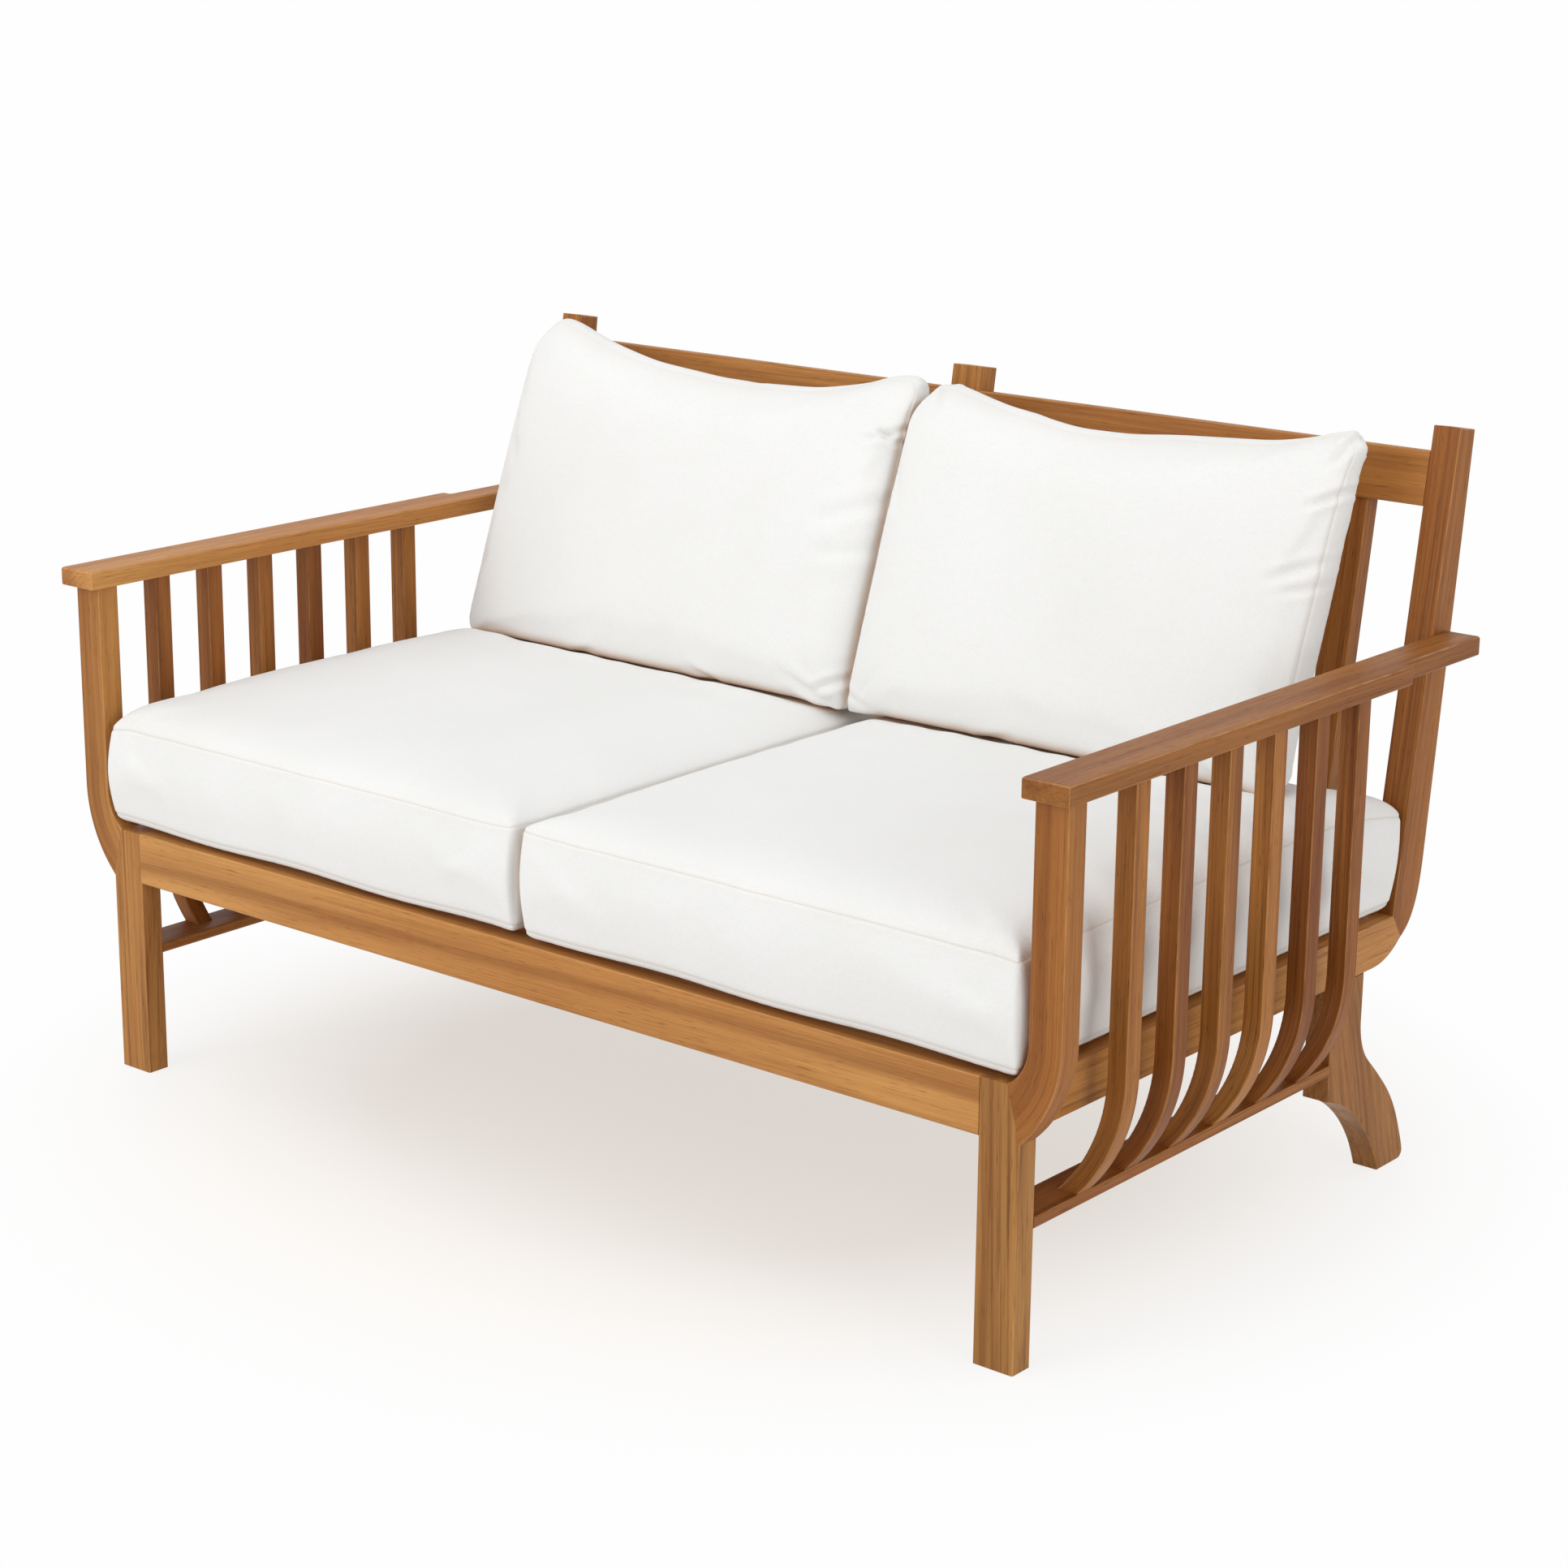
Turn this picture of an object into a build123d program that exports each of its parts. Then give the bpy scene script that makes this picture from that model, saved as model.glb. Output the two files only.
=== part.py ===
from build123d import *
from math import atan2, cos, degrees, radians, sin, sqrt, tan
import os

# Patio loveseat: an oiled hardwood frame with a slatted back and slatted arms, and four loose cushions.
# Lengths are millimetres. +X is to the right seen from the front, the front faces -Y, +Z is up.
# The origin is on the floor under the middle of the overall box.
# A depth is counted backwards from the front face of the front legs, a height from the floor.
os.makedirs("parts", exist_ok=True)

# Front legs, arm posts and front rail
leg_outer_x = 650.0
front_leg_width = 47.5
front_stock = 28.5
rail_top_z = 293.5
front_rail_height = 60.0
scarf_top_inset = 15.5
scarf_depth = 58.5
arm_post_offset = 6.5
arm_post_width = 38.5
arm_post_inner_bend_rise = 42.0
arm_post_outer_bend_rise = 46.5

# Side rails, rear legs and lower stretchers
side_stock = 32.0
side_rail_height = 50.0
tail_curl = 56.0
mitre_run = 18.4
mitre_fall = 28.5
rear_leg_setback = 137.0
rear_leg_neck = 62.5
rear_leg_reach = 171.0
rear_leg_foot = 54.0
rear_leg_heel_round = 9.0
rear_leg_knee_drop = 29.5
rear_leg_scoop_depth_share = 0.427
rear_leg_scoop_height_share = 0.283
rear_leg_back_shares = (
    (0.3655, 0.780),
    (0.4468, 0.601),
    (0.5410, 0.534),
    (0.6400, 0.466),
    (0.7580, 0.3766),
    (0.8830, 0.2415),
    (0.9530, 0.127),
    (1.0, 0.0),
)
stretcher_z = 142.5
stretcher_thickness = 12.0

# Armrests and arm slats
arm_under_z = 576.0
armrest_thickness = 21.0
armrest_width = 54.0
armrest_overhang = 14.0
armrest_tail_length = 164.0
armrest_step = 13.0
armrest_lap = 31.8
arm_slat_offset = 50.0
arm_slat_thickness = 22.5
arm_slat_width = 23.3
arm_slat_front_gap = 73.0
arm_slat_rear_gap = 43.7
arm_slat_count = 6
arm_slat_bend_drop = 8.5
arm_slat_foot_inset = 1.0
arm_slat_foot_width = 24.0

# Back
recline = 9.03
back_top_depth = 770.5
post_top_z = 815.0
post_width = 33.0
centre_post_width = 41.5
back_stock = 32.0
post_swell_width = 50.4
post_swell_rise = 56.5
heel_direction_shares = (-1.0, -0.5)
top_rail_drop = 27.6
top_rail_height = 59.0
lower_rail_rise = 32.5
lower_rail_height = 50.0
back_slat_count = 5
back_slat_width = 37.0
back_slat_thickness = 23.0
back_slat_setback = 4.5

# Seat frame under the cushions
rear_rail_gap = 3.6
seat_slat_count = 7
seat_slat_width = 62.0
seat_slat_thickness = 15.0
seat_slat_end_gap = 2.0
cleat_width = 20.0
cleat_height = 30.0
bearer_width = 30.0

# Edge rounding of the boards
edge_round = 2.0
armrest_round = 3.0

# Dowels and screws
dowel_radius = 4.0
dowel_length = 30.0
small_dowel_radius = 3.0
small_dowel_length = 18.0
dowel_play = 0.1
dowel_row = 25.0
armrest_dowel_row = 14.0
screw_radius = 2.0
screw_length = 36.0
screw_head_radius = 4.0
screw_head_height = 2.5
screw_play = 0.05
screw_sink = 0.3

# Cushions
cushion_gap = 0.3
cushion_draw = 20.0
seat_split_x = 3.0
seat_side_gap = 6.5
seat_front_depth = 5.0
seat_front_bulge = 8.0
seat_edge = 20.0
seat_seam_rise = 125.5
seat_crown = 27.0
seat_rest_rise = 144.5
seat_rest_length = 131.0
seat_rest_inset = 34.6
seat_shoulder_rise = 106.5
back_split_x = 0.0
back_left_foot_inset = 36.0
back_left_top_inset = 54.0
back_right_foot_inset = 79.0
back_right_top_inset = 78.0
back_border = 40.0
back_draw = 12.0
back_foot_standoff = 142.5
back_top_standoff = 84.0
back_top_drop = 33.0
back_ear_rise = 29.0
back_front_swell = 34.0
back_rear_swell = 98.0
back_rear_low_share = 0.4364
back_rear_high_drop = 62.0
back_rear_round = 12.0
station_shares = (0.0, 0.0093, 0.035, 0.2, 0.5, 0.8, 0.965, 0.9907, 1.0)
draw_shares = (1.0, 0.45, 0.0, 0.0, 0.0, 0.0, 0.0, 0.45, 1.0)
crown_shares = (0.1, 0.4, 0.6, 0.86, 1.0, 0.86, 0.6, 0.4, 0.1)
back_station_shares = (0.0, 0.012, 0.04, 0.1, 0.22, 0.5, 0.78, 0.9, 0.96, 0.988, 1.0)
back_draw_shares = (1.0, 0.4, 0.0, 0.0, 0.0, 0.0, 0.0, 0.0, 0.0, 0.4, 1.0)
plump_shares = (0.05, 0.08, 0.2, 0.45, 0.78, 1.0, 0.78, 0.45, 0.2, 0.08, 0.05)
ear_shares = (0.7, 0.85, 0.97, 1.0, 0.45, 0.0, 0.45, 1.0, 0.97, 0.85, 0.7)
corner_bulge_share = 0.2

# Sizes that follow from the ones above
lean = radians(recline)
rear_reach = back_top_depth + back_stock * cos(lean)
front_y = -(rear_reach - armrest_overhang) / 2
leg_inner_x = leg_outer_x - front_leg_width
scarf_top_x = leg_outer_x - scarf_top_inset
scarf_tip_z = rail_top_z - scarf_depth
arm_post_inner_x = leg_outer_x + arm_post_offset
arm_post_outer_x = arm_post_inner_x + arm_post_width
arm_post_inner_bend_z = rail_top_z + arm_post_inner_bend_rise
arm_post_outer_bend_z = rail_top_z + arm_post_outer_bend_rise
side_inner_x = leg_outer_x - side_stock
post_inner_x = leg_outer_x - post_width
side_rail_z = rail_top_z - side_rail_height
back_foot_depth = back_top_depth - post_top_z * tan(lean)
mitre_top_depth = back_foot_depth + rail_top_z * tan(lean)
mitre_foot_depth = mitre_top_depth + mitre_run
mitre_foot_z = rail_top_z - mitre_fall
tail_bend_depth = mitre_foot_depth - tail_curl
rear_leg_front = mitre_foot_depth - rear_leg_setback
rear_leg_knee_z = stretcher_z - rear_leg_knee_drop
rear_rail_stock = side_stock
rear_rail_depth = mitre_top_depth - rear_rail_gap - rear_rail_stock
post_swell_z = rail_top_z + post_swell_rise
post_swell_depth = back_foot_depth + post_swell_z * tan(lean) + post_swell_width
armrest_outer_x = leg_outer_x + armrest_width
arm_mid_z = arm_under_z + armrest_thickness / 2
armrest_end_depth = back_foot_depth + arm_mid_z * tan(lean) + armrest_lap
armrest_step_depth = armrest_end_depth - armrest_tail_length
arm_slat_outer_x = leg_outer_x + arm_slat_offset
arm_slat_foot_outer_x = leg_outer_x - arm_slat_foot_inset
arm_slat_bend_z = rail_top_z - arm_slat_bend_drop
arm_slat_first_depth = front_stock + arm_slat_front_gap
arm_slat_last_depth = rear_leg_front - arm_slat_rear_gap - arm_slat_width
arm_slat_pitch = (arm_slat_last_depth - arm_slat_first_depth) / (arm_slat_count - 1)
top_rail_top_z = post_top_z - top_rail_drop
lower_rail_z = rail_top_z + lower_rail_rise
seat_seam_z = rail_top_z + seat_seam_rise
seat_rest_z = rail_top_z + seat_rest_rise
seat_rest_rear = back_foot_depth + seat_rest_z * tan(lean) - seat_rest_inset
seat_rest_front = seat_rest_rear - seat_rest_length
seat_shoulder_z = rail_top_z + seat_shoulder_rise
back_top_z = post_top_z - back_top_drop
back_foot_mid = back_foot_depth + seat_rest_z * tan(lean) - back_foot_standoff
back_top_mid = back_foot_depth + back_top_z * tan(lean) - back_top_standoff
back_slope = (back_top_mid - back_foot_mid) / (back_top_z - seat_rest_z)
back_left_foot_x = back_left_foot_inset - leg_outer_x
back_left_top_x = back_left_top_inset - leg_outer_x
back_right_foot_x = leg_outer_x - back_right_foot_inset
back_right_top_x = leg_outer_x - back_right_top_inset
seat_slat_z = rail_top_z - seat_slat_thickness
stretcher_top_z = stretcher_z + stretcher_thickness
seat_span = rear_rail_depth - front_stock
seat_slat_gap = (seat_span - seat_slat_count * seat_slat_width) / (seat_slat_count + 1)
half_bay = post_inner_x - centre_post_width / 2
back_slat_gap = (half_bay - back_slat_count * back_slat_width) / (back_slat_count + 1)
post_top_up = post_top_z / cos(lean)
top_rail_up = top_rail_top_z / cos(lean)
top_rail_foot_up = top_rail_up - top_rail_height
lower_rail_up = lower_rail_z / cos(lean)
lower_rail_top_up = lower_rail_up + lower_rail_height


# Work planes: side views are drawn as (depth, height), front views as (x, height)
def side_plane(x):
    return Plane(origin=(x, front_y, 0), x_dir=(0, 1, 0), z_dir=(1, 0, 0))


def front_plane(depth):
    return Plane(origin=(0, front_y + depth, 0), x_dir=(1, 0, 0), z_dir=(0, -1, 0))


def plan_plane(height):
    return Plane(origin=(0, front_y, height), x_dir=(1, 0, 0), z_dir=(0, 0, 1))


# The reclined front face of the back, drawn as (x, distance up the slope), counting from the floor
def back_plane(behind):
    foot = (0, front_y + back_foot_depth + behind * cos(lean), -behind * sin(lean))
    return Plane(origin=foot, x_dir=(1, 0, 0), z_dir=(0, -cos(lean), sin(lean)))


def place(x, depth, height):
    return (x, front_y + depth, height)


def place_on_back(x, up, behind):
    depth = back_foot_depth + up * sin(lean) + behind * cos(lean)
    return place(x, depth, up * cos(lean) - behind * sin(lean))


# A round peg at each point, either solid or as the hole it sits in
def peg(points, turn, radius, length, mode):
    with Locations(*points):
        Cylinder(radius, length, rotation=turn, mode=mode)


def bore(points, turn):
    hole_length = dowel_length + 2 * dowel_play
    peg(points, turn, dowel_radius + dowel_play, hole_length, Mode.SUBTRACT)


def small_bore(points, turn):
    hole_length = small_dowel_length + 2 * dowel_play
    peg(points, turn, small_dowel_radius + dowel_play, hole_length, Mode.SUBTRACT)


# A countersunk screw driven along the turned -Z direction, either solid or as its hole
def screw(points, turn, play, mode):
    with Locations(*points):
        Cylinder(
            screw_radius + play,
            screw_length + play,
            rotation=turn,
            align=(Align.CENTER, Align.CENTER, Align.MAX),
            mode=mode,
        )
        Cone(
            screw_radius + play,
            screw_head_radius + play,
            screw_head_height,
            rotation=turn,
            align=(Align.CENTER, Align.CENTER, Align.MAX),
            mode=mode,
        )


def save(solid, name):
    solid.label = name
    export_step(solid, "parts/" + name + ".step")


def save_pair(solid, name):
    save(solid, name + "_right")
    with BuildPart() as twin:
        mirror(solid, about=Plane.YZ)
    save(twin.part, name + "_left")


along_x = (0, 90, 0)
along_y = (90, 0, 0)
along_z = (0, 0, 0)
up_back = (-recline, 0, 0)
mitre_turn = (-degrees(atan2(rail_top_z - mitre_foot_z, mitre_foot_depth - mitre_top_depth)), 0, 0)
scarf_turn = (0, degrees(atan2(rail_top_z - scarf_tip_z, scarf_top_inset)), 0)

# Dowel places on the right-hand side and on the middle line
front_mid = front_stock / 2
front_rail_mid_z = rail_top_z - front_rail_height / 2
side_rail_mid_z = rail_top_z - side_rail_height / 2
side_mid_x = leg_outer_x - side_stock / 2
side_dowel_x = leg_inner_x + dowel_row
front_rail_points = [
    place(leg_inner_x, front_mid, front_rail_mid_z - dowel_row / 2),
    place(leg_inner_x, front_mid, front_rail_mid_z + dowel_row / 2),
]
side_front_points = [
    place(side_dowel_x, front_stock, side_rail_mid_z - dowel_row / 2),
    place(side_dowel_x, front_stock, side_rail_mid_z + dowel_row / 2),
]
rear_leg_points = [
    place(side_mid_x, rear_leg_front + rear_leg_neck / 2 - dowel_row / 2, side_rail_z),
    place(side_mid_x, rear_leg_front + rear_leg_neck / 2 + dowel_row / 2, side_rail_z),
]
mitre_points = [
    place(side_mid_x, (mitre_top_depth + mitre_foot_depth) / 2, (rail_top_z + mitre_foot_z) / 2),
]
rear_rail_points = [
    place(side_inner_x, rear_rail_depth + rear_rail_stock / 2, side_rail_mid_z - dowel_row / 2),
    place(side_inner_x, rear_rail_depth + rear_rail_stock / 2, side_rail_mid_z + dowel_row / 2),
]
top_rail_mid_up = top_rail_up - top_rail_height / 2
lower_rail_mid_up = lower_rail_up + lower_rail_height / 2
post_rail_points = [
    place_on_back(post_inner_x, top_rail_mid_up - dowel_row / 2, back_stock / 2),
    place_on_back(post_inner_x, top_rail_mid_up + dowel_row / 2, back_stock / 2),
]
centre_rail_points = [
    place_on_back(centre_post_width / 2, top_rail_mid_up - dowel_row / 2, back_stock / 2),
    place_on_back(centre_post_width / 2, top_rail_mid_up + dowel_row / 2, back_stock / 2),
]
lower_rail_points = [
    place_on_back(post_inner_x, lower_rail_mid_up - dowel_row / 2, back_stock / 2),
    place_on_back(post_inner_x, lower_rail_mid_up + dowel_row / 2, back_stock / 2),
]
centre_foot_points = [
    place_on_back(-dowel_row / 2, lower_rail_top_up, back_stock / 2),
    place_on_back(dowel_row / 2, lower_rail_top_up, back_stock / 2),
]
arm_post_mid_x = arm_post_inner_x + arm_post_width / 2
arm_post_points = [
    place(arm_post_mid_x - armrest_dowel_row / 2, front_mid, arm_under_z),
    place(arm_post_mid_x + armrest_dowel_row / 2, front_mid, arm_under_z),
]
arm_tail_depth = (back_foot_depth + arm_mid_z * tan(lean) + armrest_end_depth) / 2
arm_tail_points = [
    place(leg_outer_x, arm_tail_depth - armrest_dowel_row / 2, arm_mid_z),
    place(leg_outer_x, arm_tail_depth + armrest_dowel_row / 2, arm_mid_z),
]
scarf_points = [
    place((scarf_top_x + leg_outer_x) / 2, front_mid, (rail_top_z + scarf_tip_z) / 2),
]
stretcher_mid_z = stretcher_z + stretcher_thickness / 2
stretcher_front_points = [
    place(leg_inner_x + front_leg_width / 4, front_stock, stretcher_mid_z),
    place(leg_outer_x - front_leg_width / 4, front_stock, stretcher_mid_z),
]
stretcher_rear_points = [
    place(side_mid_x - side_stock / 4, rear_leg_front, stretcher_mid_z),
    place(side_mid_x + side_stock / 4, rear_leg_front, stretcher_mid_z),
]
arm_slat_depths = [arm_slat_first_depth + i * arm_slat_pitch for i in range(arm_slat_count)]
arm_slat_mids = [depth + arm_slat_width / 2 for depth in arm_slat_depths]
arm_slat_top_x = arm_slat_outer_x - arm_slat_thickness / 2
arm_slat_foot_x = arm_slat_foot_outer_x - arm_slat_foot_width / 2
arm_slat_top_points = [place(arm_slat_top_x, depth, arm_under_z) for depth in arm_slat_mids]
arm_slat_foot_points = [place(arm_slat_foot_x, depth, stretcher_top_z) for depth in arm_slat_mids]
back_slat_pitch = back_slat_width + back_slat_gap
back_slat_first_x = centre_post_width / 2 + back_slat_gap + back_slat_width / 2
back_slat_xs = [back_slat_first_x + i * back_slat_pitch for i in range(back_slat_count)]
back_slat_behind = back_slat_setback + back_slat_thickness / 2
back_slat_top_points = [place_on_back(x, top_rail_foot_up, back_slat_behind) for x in back_slat_xs]
back_slat_foot_points = [place_on_back(x, lower_rail_top_up, back_slat_behind) for x in back_slat_xs]
bearer_mid_z = (side_rail_z + seat_slat_z) / 2
bearer_points = [
    place(0, front_stock, bearer_mid_z),
    place(0, rear_rail_depth, bearer_mid_z),
]

# Screw places: down through the seat slats, and sideways through the cleats
seat_slat_pitch = seat_slat_width + seat_slat_gap
seat_slat_first = front_stock + seat_slat_gap + seat_slat_width / 2
seat_slat_mids = [seat_slat_first + i * seat_slat_pitch for i in range(seat_slat_count)]
seat_screw_z = rail_top_z - screw_sink
cleat_mid_x = side_inner_x - cleat_width / 2
cleat_inner_x = side_inner_x - cleat_width
cleat_screw_z = seat_slat_z - cleat_height / 2
cleat_screw_depths = [seat_slat_mids[i] + seat_slat_pitch / 2 for i in range(0, seat_slat_count - 1, 2)]
cleat_screw_points = [place(cleat_inner_x + screw_sink, d, cleat_screw_z) for d in cleat_screw_depths]
cleat_slat_points = [place(cleat_mid_x, depth, seat_screw_z) for depth in seat_slat_mids]
bearer_slat_points = [place(0, depth, seat_screw_z) for depth in seat_slat_mids]
cleat_screw_turn = (0, -90, 0)

# Front leg: a straight board whose top outer corner is cut away for the arm post
with BuildPart() as front_leg:
    with BuildSketch(front_plane(front_stock)):
        with BuildLine():
            Polyline(
                (leg_inner_x, 0),
                (leg_outer_x, 0),
                (leg_outer_x, scarf_tip_z),
                (scarf_top_x, rail_top_z),
                (leg_inner_x, rail_top_z),
                close=True,
            )
        make_face()
    extrude(amount=front_stock)
    upright = front_leg.edges().filter_by(Axis.Z)
    fillet(upright, edge_round)
    bore(front_rail_points, along_x)
    bore(side_front_points, along_y)
    small_bore(scarf_points, scarf_turn)
    small_bore(stretcher_front_points, along_y)
save_pair(front_leg.part, "front_leg")

# Arm post: rises from the cut in the leg, bows outwards and stands upright under the armrest
with BuildPart() as arm_post:
    with BuildSketch(front_plane(front_stock)):
        with BuildLine():
            Line((arm_post_inner_x, arm_under_z), (arm_post_outer_x, arm_under_z))
            Line((arm_post_outer_x, arm_under_z), (arm_post_outer_x, arm_post_outer_bend_z))
            TangentArc(
                (arm_post_outer_x, arm_post_outer_bend_z),
                (leg_outer_x, scarf_tip_z),
                tangent=(0, -1),
            )
            Line((leg_outer_x, scarf_tip_z), (scarf_top_x, rail_top_z))
            TangentArc(
                (arm_post_inner_x, arm_post_inner_bend_z),
                (scarf_top_x, rail_top_z),
                tangent=(0, -1),
            )
            Line((arm_post_inner_x, arm_post_inner_bend_z), (arm_post_inner_x, arm_under_z))
        make_face()
    extrude(amount=front_stock)
    front_face = arm_post.faces().sort_by(Axis.Y)[0]
    back_face = arm_post.faces().sort_by(Axis.Y)[-1]
    long_edges = (front_face.edges() + back_face.edges()).filter_by(
        lambda e: e.center().Z > scarf_tip_z and e.center().Z < arm_under_z - edge_round
    )
    round_edges = long_edges.filter_by(
        lambda e: abs(e.center().X - (scarf_top_x + leg_outer_x) / 2) > edge_round
        or abs(e.center().Z - (rail_top_z + scarf_tip_z) / 2) > edge_round
    )
    fillet(round_edges, edge_round)
    small_bore(scarf_points, scarf_turn)
    bore(arm_post_points, along_z)
save_pair(arm_post.part, "arm_post")

# Front rail: the deep board between the front legs, flush with them in front
with BuildPart() as front_rail:
    with BuildSketch(side_plane(0)):
        with Locations((front_stock / 2, front_rail_mid_z)):
            Rectangle(front_stock, front_rail_height)
    extrude(amount=leg_inner_x, both=True)
    fillet(front_rail.edges().filter_by(Axis.X), edge_round)
    bore(front_rail_points, along_x)
    bore([(-x, y, z) for x, y, z in front_rail_points], along_x)
    bore(bearer_points[:1], along_y)
save(front_rail.part, "front_rail")

# Side rail: runs back over the rear leg and curls up to the heel of the back post
with BuildPart() as side_rail:
    with BuildSketch(side_plane(side_inner_x)):
        with BuildLine():
            Line((front_stock, side_rail_z), (tail_bend_depth, side_rail_z))
            TangentArc((tail_bend_depth, side_rail_z), (mitre_foot_depth, mitre_foot_z), tangent=(1, 0))
            Line((mitre_foot_depth, mitre_foot_z), (mitre_top_depth, rail_top_z))
            Line((mitre_top_depth, rail_top_z), (front_stock, rail_top_z))
            Line((front_stock, rail_top_z), (front_stock, side_rail_z))
        make_face()
    extrude(amount=side_stock)
    fillet(side_rail.edges().filter_by(Axis.Y), edge_round)
    bore(side_front_points, along_y)
    bore(rear_leg_points, along_z)
    bore(rear_rail_points, along_x)
    bore(mitre_points, mitre_turn)
    screw(cleat_screw_points, cleat_screw_turn, screw_play, Mode.SUBTRACT)
save_pair(side_rail.part, "side_rail")

# Rear leg: straight at the top, then sweeps backwards to a narrow foot
with BuildPart() as rear_leg:
    with BuildSketch(side_plane(side_inner_x)) as rear_leg_outline:
        with BuildLine():
            neck_rear = rear_leg_front + rear_leg_neck
            sweep_points = [
                (rear_leg_front + a * rear_leg_reach, b * side_rail_z) for a, b in rear_leg_back_shares
            ]
            scoop_point = (
                rear_leg_front + rear_leg_scoop_depth_share * rear_leg_reach,
                rear_leg_scoop_height_share * side_rail_z,
            )
            foot_rear = rear_leg_front + rear_leg_reach
            foot_front = foot_rear - rear_leg_foot
            Line((neck_rear, side_rail_z), sweep_points[0])
            Spline(*sweep_points, tangents=((0, -1), (0, -1)), tangent_scalars=(1, 1))
            Line((foot_rear, 0), (foot_front, 0))
            ThreePointArc((foot_front, 0), scoop_point, (rear_leg_front, rear_leg_knee_z))
            Line((rear_leg_front, rear_leg_knee_z), (rear_leg_front, side_rail_z))
            Line((rear_leg_front, side_rail_z), (neck_rear, side_rail_z))
        make_face()
        heel = rear_leg_outline.vertices().sort_by_distance((foot_rear, 0, 0))[0]
        fillet(heel, rear_leg_heel_round)
    extrude(amount=side_stock)
    inner_face = rear_leg.faces().sort_by(Axis.X)[0]
    outer_face = rear_leg.faces().sort_by(Axis.X)[-1]
    rim = (inner_face.edges() + outer_face.edges()).filter_by(
        lambda e: e.center().Z > edge_round and e.center().Z < side_rail_z - edge_round
    )
    fillet(rim, edge_round)
    bore(rear_leg_points, along_z)
    small_bore(stretcher_rear_points, along_y)
save_pair(rear_leg.part, "rear_leg")

# Lower stretcher: a flat board between the front and rear leg that carries the arm slats
with BuildPart() as stretcher:
    with BuildSketch(plan_plane(stretcher_z)):
        with Locations(((leg_inner_x + leg_outer_x) / 2, (front_stock + rear_leg_front) / 2)):
            Rectangle(front_leg_width, rear_leg_front - front_stock)
    extrude(amount=stretcher_thickness)
    fillet(stretcher.edges().filter_by(Axis.Y), edge_round)
    small_bore(stretcher_front_points, along_y)
    small_bore(stretcher_rear_points, along_y)
    small_bore(arm_slat_foot_points, along_z)
save_pair(stretcher.part, "stretcher")

# Arm slats: upright below the armrest, bent inwards at the foot to stand on the stretcher
for index, slat_depth in enumerate(arm_slat_depths):
    with BuildPart() as arm_slat:
        with BuildSketch(front_plane(slat_depth + arm_slat_width)):
            with BuildLine():
                slat_inner_x = arm_slat_outer_x - arm_slat_thickness
                foot_inner_x = arm_slat_foot_outer_x - arm_slat_foot_width
                Line((slat_inner_x, arm_under_z), (arm_slat_outer_x, arm_under_z))
                Line((arm_slat_outer_x, arm_under_z), (arm_slat_outer_x, arm_slat_bend_z))
                TangentArc(
                    (arm_slat_outer_x, arm_slat_bend_z),
                    (arm_slat_foot_outer_x, stretcher_top_z),
                    tangent=(0, -1),
                )
                Line((arm_slat_foot_outer_x, stretcher_top_z), (foot_inner_x, stretcher_top_z))
                TangentArc(
                    (slat_inner_x, arm_slat_bend_z),
                    (foot_inner_x, stretcher_top_z),
                    tangent=(0, -1),
                )
                Line((slat_inner_x, arm_slat_bend_z), (slat_inner_x, arm_under_z))
            make_face()
        extrude(amount=arm_slat_width)
        near_face = arm_slat.faces().sort_by(Axis.Y)[0]
        far_face = arm_slat.faces().sort_by(Axis.Y)[-1]
        slat_rim = (near_face.edges() + far_face.edges()).filter_by(
            lambda e: e.center().Z > stretcher_top_z + edge_round
            and e.center().Z < arm_under_z - edge_round
        )
        fillet(slat_rim, edge_round)
        small_bore(arm_slat_top_points, along_z)
        small_bore(arm_slat_foot_points, along_z)
    save_pair(arm_slat.part, "arm_slat_" + str(index + 1))

# Armrest: a flat board with a stepped outer edge, fixed to the outer face of the back post
with BuildPart() as armrest:
    with BuildSketch(plan_plane(arm_under_z)):
        with BuildLine():
            Polyline(
                (leg_outer_x, -armrest_overhang),
                (armrest_outer_x, -armrest_overhang),
                (armrest_outer_x, armrest_step_depth),
                (armrest_outer_x - armrest_step, armrest_step_depth),
                (armrest_outer_x - armrest_step, armrest_end_depth),
                (leg_outer_x, armrest_end_depth),
                close=True,
            )
        make_face()
    extrude(amount=armrest_thickness)
    fillet(armrest.edges().filter_by(Axis.Z), edge_round)
    top_rim = armrest.faces().sort_by(Axis.Z)[-1].edges()
    fillet(top_rim, armrest_round)
    under_rim = armrest.faces().sort_by(Axis.Z)[0].edges()
    fillet(under_rim, edge_round)
    bore(arm_post_points, along_z)
    small_bore(arm_slat_top_points, along_z)
    bore(arm_tail_points, along_x)
save_pair(armrest.part, "armrest")

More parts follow.
